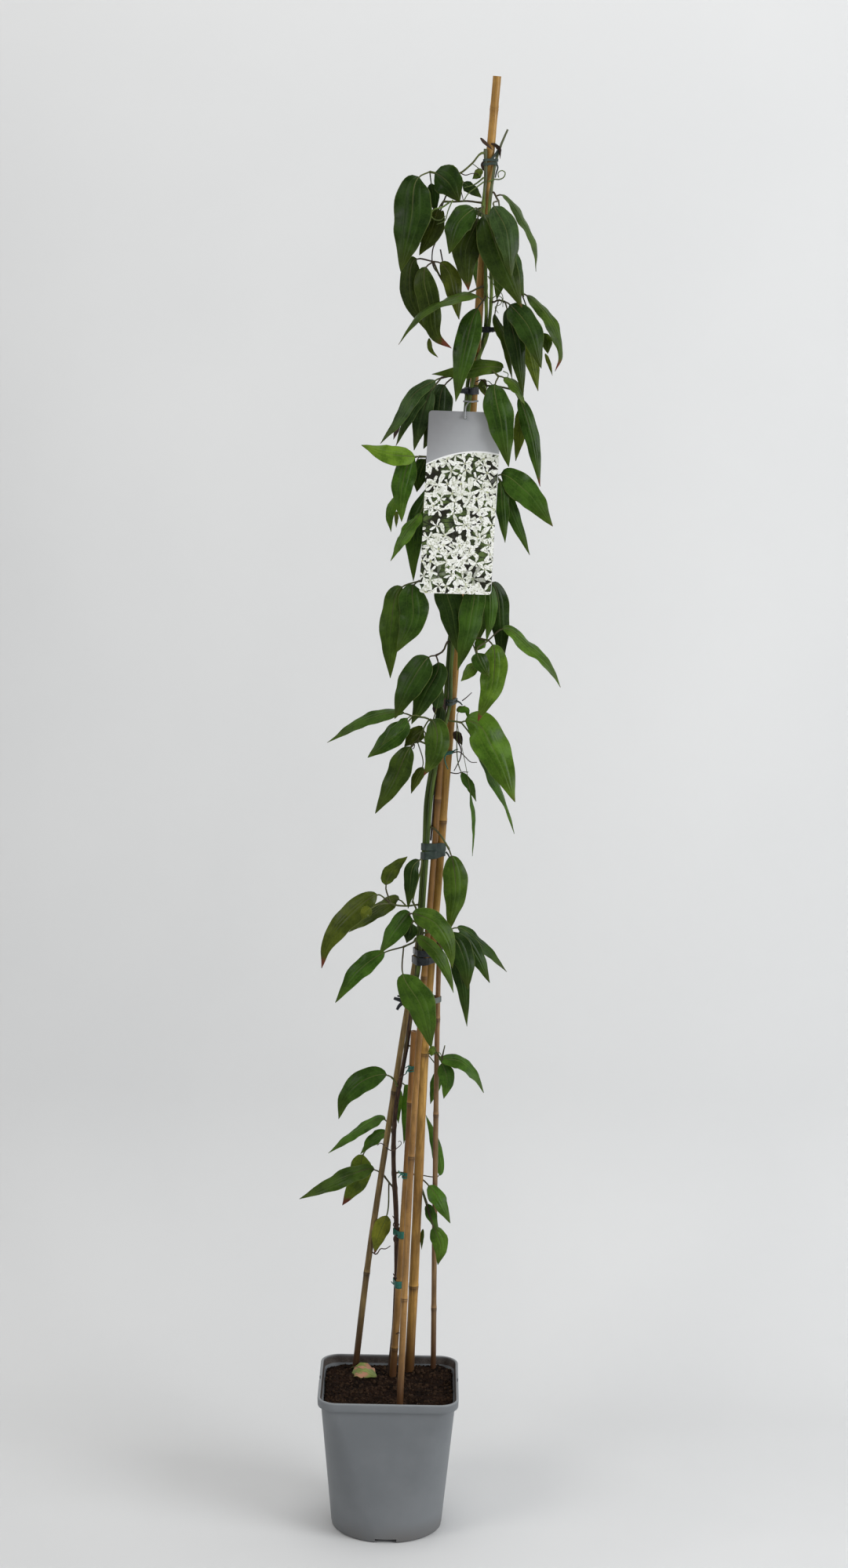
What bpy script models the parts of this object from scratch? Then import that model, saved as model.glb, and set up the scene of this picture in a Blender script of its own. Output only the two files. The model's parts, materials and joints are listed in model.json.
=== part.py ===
"""An evergreen climbing plant tied to bamboo canes in a square nursery pot.

Metres, +Z up. The pot stands on z = 0 with its middle on the Z axis, and -Y is the front.
Every leaf spray, cane, tie and the card is an object of its own.
"""

import math

import bmesh
import bpy
import numpy as np
from mathutils import Vector

MM = 0.001
GAP = 0.35 * MM

# Pot: a rounded square at the rim that turns into a circle at the base
POT_HEIGHT = 184 * MM
POT_RIM_HALF = 85 * MM
POT_WALL = 1.8 * MM
POT_TOP_HALF = 80.5 * MM
POT_CORNER = 20 * MM
POT_BASE_RADIUS = 67.5 * MM
POT_FLOOR = 8 * MM
LIP_HEIGHT = 11 * MM
DRAIN_WIDTH = 26 * MM
DRAIN_HEIGHT = 5.5 * MM
DRAIN_INNER = 34 * MM
DRAIN_HOLE = 4 * MM

# Soil
SOIL_TOP = 172 * MM
CANE_DEPTH = 50 * MM

# Leaves
BLADE = 0.7 * MM
STALK_WIDTH = 2.0 * MM
STALK_THICK = 1.7 * MM
PETIOLE_RADIUS = 1.3 * MM

# Card that hangs in front of the canes
CARD_WIDTH = 84 * MM
CARD_HEIGHT = 212 * MM
CARD_THICK = 0.8 * MM
CARD_HOLE = 2.0 * MM

# The layout above the soil is written as it lines up from here, on the plane y = 0
STANDPOINT = Vector((0.029, -3.6, 1.565))


def at(x, depth, z):
    """The place, in metres, that lines up with x and z (mm) and lies depth (mm) behind y = 0."""
    flat = Vector((x, 0, z)) * MM
    return STANDPOINT + (flat - STANDPOINT) * ((depth * MM - STANDPOINT.y) / -STANDPOINT.y)


def seen_height(place):
    """The layout height, in mm, at which a place is seen."""
    share = -STANDPOINT.y / (place.y - STANDPOINT.y)
    return (STANDPOINT.z + (place.z - STANDPOINT.z) * share) / MM


def material(name, color, roughness, metallic=0.0):
    found = bpy.data.materials.new(name)
    found.use_nodes = True
    shader = found.node_tree.nodes["Principled BSDF"]
    shader.inputs["Base Color"].default_value = (*color, 1)
    shader.inputs["Roughness"].default_value = roughness
    shader.inputs["Metallic"].default_value = metallic
    return found


def add_object(name, mesh, finish=None, smooth=True):
    obj = bpy.data.objects.new(name, mesh)
    bpy.context.collection.objects.link(obj)
    if finish:
        mesh.materials.append(finish)
    if smooth:
        mesh.shade_smooth()
        mesh.set_sharp_from_angle(angle=math.radians(40))
    return obj


def mesh_from(bm, name):
    mesh = bpy.data.meshes.new(name)
    bm.to_mesh(mesh)
    bm.free()
    return mesh


class Route:
    """A smooth curve through points, read by the distance along the chords between them."""

    def __init__(self, points):
        self.points = np.array([tuple(p) for p in points], float)
        steps = np.linalg.norm(np.diff(self.points, axis=0), axis=1)
        self.knots = np.concatenate([[0], np.cumsum(steps)])
        self.length = self.knots[-1]
        slopes = np.diff(self.points, axis=0) / steps[:, None]
        inner = (slopes[:-1] * steps[1:, None] + slopes[1:] * steps[:-1, None]) / (
            steps[1:] + steps[:-1]
        )[:, None]
        self.tangents = np.vstack([slopes[:1], inner, slopes[-1:]])

    def read(self, distance):
        distance = min(max(distance, 0), self.length)
        i = min(int(np.searchsorted(self.knots, distance, "right")) - 1, len(self.points) - 2)
        span = self.knots[i + 1] - self.knots[i]
        t = (distance - self.knots[i]) / span
        p0, p1 = self.points[i], self.points[i + 1]
        m0, m1 = self.tangents[i] * span, self.tangents[i + 1] * span
        place = (
            (2 * t**3 - 3 * t**2 + 1) * p0
            + (t**3 - 2 * t**2 + t) * m0
            + (3 * t**2 - 2 * t**3) * p1
            + (t**3 - t**2) * m1
        )
        way = (
            (6 * t**2 - 6 * t) * (p0 - p1)
            + (3 * t**2 - 4 * t + 1) * m0
            + (3 * t**2 - 2 * t) * m1
        )
        return Vector(place), Vector(way).normalized()

    def at_height(self, z):
        """The point of a climbing route at this height."""
        low, high = 0.0, self.length
        for _ in range(40):
            middle = (low + high) / 2
            if self.read(middle)[0].z < z:
                low = middle
            else:
                high = middle
        return self.read(low)[0]


def skin(bm, rings, leaning_back=False):
    """Two triangles for each side of each pair of rings, all split along the same diagonal."""
    count = len(rings[0])
    for low, high in zip(rings[:-1], rings[1:]):
        for k in range(count):
            a, b = low[k], low[(k + 1) % count]
            c, d = high[(k + 1) % count], high[k]
            for corners in ((a, b, d), (b, c, d)) if leaning_back else ((a, b, c), (a, c, d)):
                bm.faces.new(corners)


def tube(name, route, radius_at, sides, stations, finish=None, grow=0.0):
    """A closed round stem along a route. radius_at takes the distance along it."""
    bm = bmesh.new()
    side = None
    rings = []
    for distance in stations:
        place, way = route.read(distance)
        if side is None:
            side = way.cross(Vector((0, 1, 0)) if abs(way.y) < 0.9 else Vector((1, 0, 0)))
        side = (side - way * side.dot(way)).normalized()
        other = way.cross(side)
        radius = radius_at(distance) + grow
        turns = [2 * math.pi * k / sides for k in range(sides)]
        rings.append(
            [bm.verts.new(place + (side * math.cos(a) + other * math.sin(a)) * radius) for a in turns]
        )
    skin(bm, rings)
    bm.faces.new(rings[0][::-1])
    bm.faces.new(rings[-1])
    return add_object(name, mesh_from(bm, name), finish)


def unite(obj, others, solver="EXACT"):
    """Joins the others to obj with one Boolean and removes them."""
    if not others:
        return obj
    parts = bpy.data.collections.new(obj.name + "_parts")
    bpy.context.scene.collection.children.link(parts)
    for other in others:
        bpy.context.collection.objects.unlink(other)
        parts.objects.link(other)
    union = obj.modifiers.new("join", "BOOLEAN")
    union.operation = "UNION"
    union.operand_type = "COLLECTION"
    union.collection = parts
    union.solver = solver
    bake(obj)
    for other in others:
        bpy.data.objects.remove(other)
    bpy.data.collections.remove(parts)
    return obj


def bake(obj):
    """Puts the modifiers' result in the object's own mesh."""
    graph = bpy.context.evaluated_depsgraph_get()
    mesh = bpy.data.meshes.new_from_object(obj.evaluated_get(graph))
    obj.modifiers.clear()
    obj.data = mesh


def drop_scraps(obj, least=5 * MM**3):
    """Removes crumbs that a Boolean leaves where a strip folds on itself."""
    bm = bmesh.new()
    bm.from_mesh(obj.data)
    waiting = set(bm.verts)
    while waiting:
        island = {waiting.pop()}
        edge = list(island)
        while edge:
            edge = [n for v in edge for e in v.link_edges for n in e.verts if n not in island]
            island |= set(edge)
        waiting -= island
        faces = {f for v in island for f in v.link_faces}
        volume = 0.0
        for face in faces:
            first = face.verts[0].co
            for a, b in zip(face.verts[1:-1], face.verts[2:]):
                volume += first.dot(a.co.cross(b.co)) / 6
        if abs(volume) < least:
            bmesh.ops.delete(bm, geom=list(island), context="VERTS")
    bm.to_mesh(obj.data)
    bm.free()


def cut(obj, cutters):
    """Takes each cutter out of obj, then removes the cutters."""
    for cutter in cutters:
        hole = obj.modifiers.new("hole", "BOOLEAN")
        hole.operation = "DIFFERENCE"
        hole.object = cutter
    bake(obj)
    for cutter in cutters:
        bpy.data.objects.remove(cutter)


def box(name, low, high):
    bm = bmesh.new()
    bmesh.ops.create_cube(bm, size=1)
    size = Vector(high) - Vector(low)
    middle = (Vector(high) + Vector(low)) / 2
    for v in bm.verts:
        v.co = Vector((v.co.x * size.x, v.co.y * size.y, v.co.z * size.z)) + middle
    return add_object(name, mesh_from(bm, name), smooth=False)


# Pot and soil

QUARTER = [0, 20, 37.4, 42.5, 47.5, 52.6, 70]
ANGLES = [math.radians(turn + step) for turn in (0, 90, 180, 270) for step in QUARTER]


def square_reach(angle, half, corner):
    """How far a rounded square reaches in this direction."""
    fold = angle % (math.pi / 2)
    fold = min(fold, math.pi / 2 - fold)
    straight = half / math.cos(fold)
    if straight * math.sin(fold) <= half - corner:
        return straight
    centre = half - corner
    along = centre * (math.cos(fold) + math.sin(fold))
    return along + math.sqrt(max(along**2 - 2 * centre**2 + corner**2, 0))


def pot_ring(bm, half, corner, roundness, z, shift=0.0):
    ring = []
    for angle in ANGLES:
        reach = (1 - roundness) * square_reach(angle, half, corner) + roundness * half
        reach += shift
        ring.append(bm.verts.new((reach * math.cos(angle), reach * math.sin(angle), z)))
    return ring


def wall_ring(bm, z, inset=0.0, shift=0.0):
    """The pot's body at height z: square under the lip, round at the base."""
    share = z / (POT_HEIGHT - LIP_HEIGHT)
    half = POT_BASE_RADIUS + (POT_TOP_HALF - POT_BASE_RADIUS) * share
    roundness = max(0.0, 1 - share) ** 1.3
    return pot_ring(bm, half - inset, POT_CORNER - inset, roundness, z, shift)


def make_pot():
    bm = bmesh.new()
    lip_low = POT_HEIGHT - LIP_HEIGHT
    corner = POT_CORNER + POT_RIM_HALF - POT_TOP_HALF
    rim = lambda half, z: pot_ring(bm, half, corner - (POT_RIM_HALF - half), 0, z)
    outside = [wall_ring(bm, 0, shift=-1.5 * MM)]
    outside += [wall_ring(bm, z) for z in (2 * MM, 60 * MM, 120 * MM, lip_low)]
    inside = [
        rim(POT_RIM_HALF - 0.8 * MM, lip_low + 0.2 * MM),
        rim(POT_RIM_HALF, lip_low + 1.5 * MM),
        rim(POT_RIM_HALF, POT_HEIGHT - 0.8 * MM),
        rim(POT_RIM_HALF - 0.8 * MM, POT_HEIGHT),
        rim(POT_RIM_HALF - 3.0 * MM, POT_HEIGHT),
    ]
    inside += [wall_ring(bm, z, inset=POT_WALL) for z in (164 * MM, 120 * MM, 60 * MM, POT_FLOOR)]
    # Both faces of the wall are split along the same diagonals, so it is equally thick all round
    skin(bm, outside, leaning_back=True)
    skin(bm, outside[-1:] + inside)
    bm.faces.new(outside[0][::-1])
    bm.faces.new(inside[-1])
    pot = add_object("pot", mesh_from(bm, "pot"), POT_GREY)
    channels = []
    for turn in range(4):
        outward = Vector((math.sin(math.pi / 2 * turn), -math.cos(math.pi / 2 * turn), 0))
        across = Vector((-outward.y, outward.x, 0)) * DRAIN_WIDTH / 2
        ends = [outward * DRAIN_INNER - across, outward * 90 * MM + across]
        low = Vector((min(e.x for e in ends), min(e.y for e in ends), -0.01))
        high = Vector((max(e.x for e in ends), max(e.y for e in ends), DRAIN_HEIGHT))
        channels.append(box("channel", low, high))
        hole = Route([outward * 48 * MM - Vector((0, 0, 0.01)), outward * 48 * MM + Vector((0, 0, 0.03))])
        channels.append(tube("drain", hole, lambda d: DRAIN_HOLE, 10, (0, hole.length)))
    for side in (-1, 1):
        edge = Vector((side * POT_RIM_HALF, 2 * MM, POT_HEIGHT - 2.5 * MM))
        channels.append(box("notch", edge - Vector((1.6, 6, 2)) * MM, edge + Vector((1.6, 6, 5)) * MM))
    cut(pot, channels)


def soil_height(x, y):
    """Crumbly top: low humps, a little higher towards the back right."""
    hump = 1.6 * math.sin(x * 62 + 1.0) * math.cos(y * 71 - 0.6)
    grit = 0.8 * math.sin(x * 190 + y * 140) + 0.7 * math.cos(x * 120 - y * 210 + 2)
    return SOIL_TOP + (hump + grit + 8 * x + 14 * y) * MM


def make_soil(stems):
    bm = bmesh.new()
    inset = POT_WALL + GAP
    walls = [wall_ring(bm, z, inset=inset) for z in (0.164, 0.12, 0.06, POT_FLOOR + GAP)]
    tops = []
    for share in (0.25, 0.52, 0.77, 0.985):
        ring = []
        for edge in walls[0]:
            x, y = edge.co.x * share, edge.co.y * share
            ring.append(bm.verts.new((x, y, soil_height(x, y))))
        tops.append(ring)
    skin(bm, tops + walls)
    bm.faces.new(walls[-1])
    middle = bm.verts.new((0, 0, soil_height(0, 0)))
    for a, b in zip(tops[0], tops[0][1:] + tops[0][:1]):
        bm.faces.new((b, a, middle))
    bmesh.ops.recalc_face_normals(bm, faces=bm.faces)
    soil = add_object("soil", mesh_from(bm, "soil"), SOIL_BROWN)
    cut(soil, [stem.hole() for stem in stems])


# Canes and stems

def section_between(route, marks, radius_at, z):
    """Centre and radius of a tube at height z, on the straight piece between two of its rings."""
    for a, b in zip(marks[:-1], marks[1:]):
        low, high = route.read(a)[0], route.read(b)[0]
        if low.z <= z <= high.z:
            share = (z - low.z) / (high.z - low.z)
            return low.lerp(high, share), max(radius_at(a), radius_at(b))
    return route.read(marks[-1])[0], radius_at(marks[-1])


class Cane:
    """A bamboo cane: layout points from the soil up, and the heights (mm) of its joints."""

    def __init__(self, name, points, low_radius, high_radius, joints, finish):
        places = [at(*p) for p in points]
        foot = places[0] - (places[1] - places[0]).normalized() * CANE_DEPTH
        self.name, self.finish = name, finish
        self.route = Route([foot, *places])
        self.low, self.high = low_radius * MM, high_radius * MM
        self.joints = [self.distance_at(z) for z in joints]

    def distance_at(self, z):
        """How far along the cane it is seen at layout height z (mm)."""
        low, high = 0.0, self.route.length
        for _ in range(40):
            middle = (low + high) / 2
            if seen_height(self.route.read(middle)[0]) < z:
                low = middle
            else:
                high = middle
        return low

    def radius(self, distance):
        swell = sum(0.6 * MM for joint in self.joints if abs(distance - joint) < 0.1 * MM)
        return self.low + (self.high - self.low) * distance / self.route.length + swell

    def stations(self):
        marks = set(np.linspace(0, self.route.length, max(3, int(self.route.length / 0.14))))
        for joint in self.joints:
            marks = {m for m in marks if abs(m - joint) > 12 * MM or m in (0, self.route.length)}
            marks |= {joint - 3.5 * MM, joint, joint + 2.5 * MM}
        return sorted(marks)

    def make(self):
        tube(self.name, self.route, self.radius, 8, self.stations(), self.finish)

    def hole(self):
        reach = CANE_DEPTH + 40 * MM
        marks = [-GAP] + [m for m in self.stations() if 0 < m < reach] + [reach]
        return tube("hole", Stretched(self.route, GAP), self.radius, 8, marks, grow=GAP)

    def section(self, z):
        return section_between(self.route, self.stations(), self.radius, z)


class Stretched:
    """A route that goes straight on before its start."""

    def __init__(self, route, before):
        self.route, self.before = route, before
        self.length = route.length

    def read(self, distance):
        place, way = self.route.read(distance)
        return place + way * min(distance, 0), way


CANES = {
    "cane_main": (
        [(25, 60, 204), (28, 53, 304), (31.5, 38, 440), (36, 16, 609), (40.5, 12, 700),
         (46.5, 9, 790), (54, 7, 924), (62.5, 5, 1065), (77.5, 0, 1385), (91, -7, 1660), (96.5, -10, 1741)],
        5.9, 4.7, (304, 596, 880, 1180, 1429, 1705), "tan",
    ),
    "cane_short": (
        [(4.5, 40, 186), (10.5, 31, 306), (16.8, 19, 444), (23, 6, 623)],
        4.4, 4.0, (224, 534), "brown",
    ),
    "cane_front": (
        [(14, -60, 154), (21.5, -30, 440), (29, -11, 609), (34, -6, 700), (39, -4, 780),
         (43, -4, 850), (49.5, -3, 985)],
        4.0, 3.5, (287, 466, 690, 905), "tan",
    ),
    "cane_left": (
        [(-40.5, 64, 204), (-29, 54, 320), (-6, 37, 501), (8, 25, 606), (20, 15, 690), (27, 11, 742)],
        4.0, 3.4, (320, 548), "dark",
    ),
    "cane_right": (
        [(54, 64, 203), (51.5, 41, 450), (50.5, 21, 650), (50.7, 16, 700), (51, 14, 738)],
        3.3, 3.0, (276, 520, 639), "pink",
    ),
}

# The two shoots of the plant: layout points and the radius (mm) at each
SHOOT_ONE = [
    (1, 52, 190, 3.2), (6, 46, 260, 3.1), (7, 40, 330, 3.0), (5, 36, 400, 3.1), (1, 34, 462, 2.8),
    (1, 30, 500, 2.7), (4, 24, 540, 2.7), (9, 18, 570, 2.6), (15, 14, 610, 2.6), (20, 7, 655, 2.7),
    (24.5, 0, 690, 2.8), (26.5, 0, 740, 2.8), (28, 2, 790, 2.9), (31, 3, 850, 2.8), (33, 2, 910, 2.8),
    (39, -6, 950, 2.7), (46, -12, 985, 2.7), (51, -9, 1010, 2.6), (54, -4, 1060, 2.5),
    (57, -4, 1110, 2.5), (61, -5, 1200, 2.4), (66, -5, 1300, 2.3), (70, -4, 1385, 2.2),
    (71, 2, 1399, 2.2), (75, 8, 1413, 2.2), (81, 10, 1427, 2.2), (87, 6, 1443, 2.1),
    (90, -2, 1465, 2.1), (89, -9, 1500, 2.1),
    (87, -13, 1550, 2.0), (84, -14, 1590, 2.0), (86, -14, 1630, 2.0), (85, -13, 1660, 1.8),
]
SHOOT_TWO = [
    (22, 4, 672, 2.4), (27.2, -6.5, 703, 2.4), (29.4, -6, 745, 2.4), (31.5, -4, 790, 2.4),
    (34.5, -5, 850, 2.4), (38, -5, 910, 2.4), (43.5, -10, 950, 2.3), (50, -15, 985, 2.3),
    (57, -12, 1015, 2.3), (58, -9, 1060, 2.3), (61, -10, 1110, 2.3), (65, -10, 1200, 2.2),
    (70, -10, 1300, 2.2), (74.5, -10, 1385, 2.1), (83, -10, 1425, 2.1), (91, -6, 1447, 2.0),
    (95, -5, 1480, 2.0), (94, -11, 1540, 2.0), (91, -16, 1590, 1.9), (94, -15, 1625, 1.8),
    (98, -11, 1650, 1.6), (104, -10, 1668, 1.3), (110, -10, 1682, 1.2),
]
ROOT_DEPTH = 60 * MM


class Shoot:
    def __init__(self, points, root=0.0):
        places = [at(*p[:3]) for p in points]
        radii = [p[3] * MM for p in points]
        if root:
            places.insert(0, places[0] - (places[1] - places[0]).normalized() * root)
            radii.insert(0, radii[0])
        self.route, self.radii, self.root = Route(places), radii, root

    def radius(self, distance):
        return float(np.interp(distance, self.route.knots, self.radii))

    def make(self, name, finish):
        return tube(name, self.route, self.radius, 6, self.route.knots, finish)

    def hole(self):
        reach = self.root + 30 * MM
        return tube("hole", Stretched(self.route, GAP), self.radius, 6, (-GAP, self.root, reach), grow=GAP)

    def nearest(self, place):
        """The closest point of the shoot's centre line, its direction and the radius there."""
        best = None
        rows = list(zip(self.route.points, self.radii))
        for (a, wide), (b, narrow) in zip(rows[:-1], rows[1:]):
            a, b = Vector(a), Vector(b)
            share = min(max((place - a).dot(b - a) / (b - a).length_squared, 0), 1)
            spot = a.lerp(b, share)
            if best is None or (spot - place).length < (best[0] - place).length:
                best = spot, (b - a).normalized(), wide + (narrow - wide) * share
        return best

    def section(self, z):
        return section_between(self.route, self.route.knots, self.radius, z)


# Leaves
# A leaf is (points, width, roll): layout points from its joint with the petiole through the
# blade's foot to its tip, its full width in mm, and how far in degrees its face turns from
# the front, to the left for a hanging leaf when positive. With no petiole, it grows on its own stalk.

def outline(t):
    """Half width of a long leaf, 0 to 1, from its foot to its drawn-out tip."""
    return math.sin(math.pi * t**0.68) ** 0.8 * (1 - 0.3 * t**3)


def leaf_strip(name, points, width, roll, number):
    """One leaf with its stalk: a thin bent strip, creased down the middle, closed all round."""
    places = [p if isinstance(p, Vector) else at(*p) for p in points]
    # Stalks that leave one joint start a little apart and differ a little in thickness
    turn = number % 4
    places[0] = places[0] + Vector((0.11, -0.07, 0.13)) * MM * turn
    route = Route(places)
    foot = route.knots[1]
    blade = route.length - foot
    if blade > 88 * MM:
        shares = (0.06, 0.26, 0.52, 0.78, 1)
    elif blade > 40 * MM:
        shares = (0.08, 0.35, 0.7, 1)
    else:
        shares = (0.12, 0.5, 1)
    creased = blade > 40 * MM
    joints = 1 + min(1, int(foot / (24 * MM)))
    stations = [(foot * k / joints, None) for k in range(joints)] + [(foot, None)]
    stations += [(foot + blade * s, s) for s in shares]
    bm = bmesh.new()
    rings = []
    for distance, share in stations:
        place, way = route.read(distance)
        front = Vector((0, -1, -0.35 if abs(roll) > 90 else 0))
        front = (front - way * front.dot(way)).normalized()
        tilt = math.radians(roll)
        face = front * math.cos(tilt) + way.cross(front) * math.sin(tilt)
        side = way.cross(face)
        if share is None:
            half, thick, drop, wave = STALK_WIDTH / 2, STALK_THICK + 0.06 * MM * turn, 0.0, 0.0
        else:
            half = max(width * MM / 2 * outline(share), 0.7 * MM)
            thick = BLADE
            drop = 0.2 * half
            wave = 0.06 * half * math.sin(9 * share + 2.4 * number)
        row = (-1, 0, 1) if creased and distance >= foot else (-1, 1)
        ring = []
        for level, order in ((thick / 2, row), (-thick / 2, row[::-1])):
            for across in order:
                bend = face * (level - abs(across) * drop + across * wave)
                ring.append(bm.verts.new(place + side * (across * half) + bend))
        rings.append(ring)
    for low, high in zip(rings[:-1], rings[1:]):
        bridge(bm, low, high)
    for ring in (rings[0], rings[-1]):
        half = len(ring) // 2
        for k in range(half - 1):
            bm.faces.new((ring[k], ring[k + 1], ring[-k - 2], ring[-k - 1]))
    bmesh.ops.recalc_face_normals(bm, faces=bm.faces)
    return add_object(name, mesh_from(bm, name), smooth=False)


def bridge(bm, low, high):
    """Triangles between two rings of a strip, its top and underside split alike."""
    if len(low) < len(high):
        for a, b, left, mid, right in ((0, 1, 0, 1, 2), (3, 2, 5, 4, 3)):
            bm.faces.new((low[a], low[b], high[mid]))
            bm.faces.new((low[a], high[mid], high[left]))
            bm.faces.new((low[b], high[right], high[mid]))
        for a, b, c, d in ((1, 2, 3, 2), (3, 0, 0, 5)):
            bm.faces.new((low[a], low[b], high[c]))
            bm.faces.new((low[a], high[c], high[d]))
        return
    count = len(low)
    for k in range(count):
        p, q = k, (k + 1) % count
        if k < count // 2:
            bm.faces.new((low[p], low[q], high[q]))
            bm.faces.new((low[p], high[q], high[p]))
        else:
            bm.faces.new((low[p], low[q], high[p]))
            bm.faces.new((low[q], high[q], high[p]))


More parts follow.
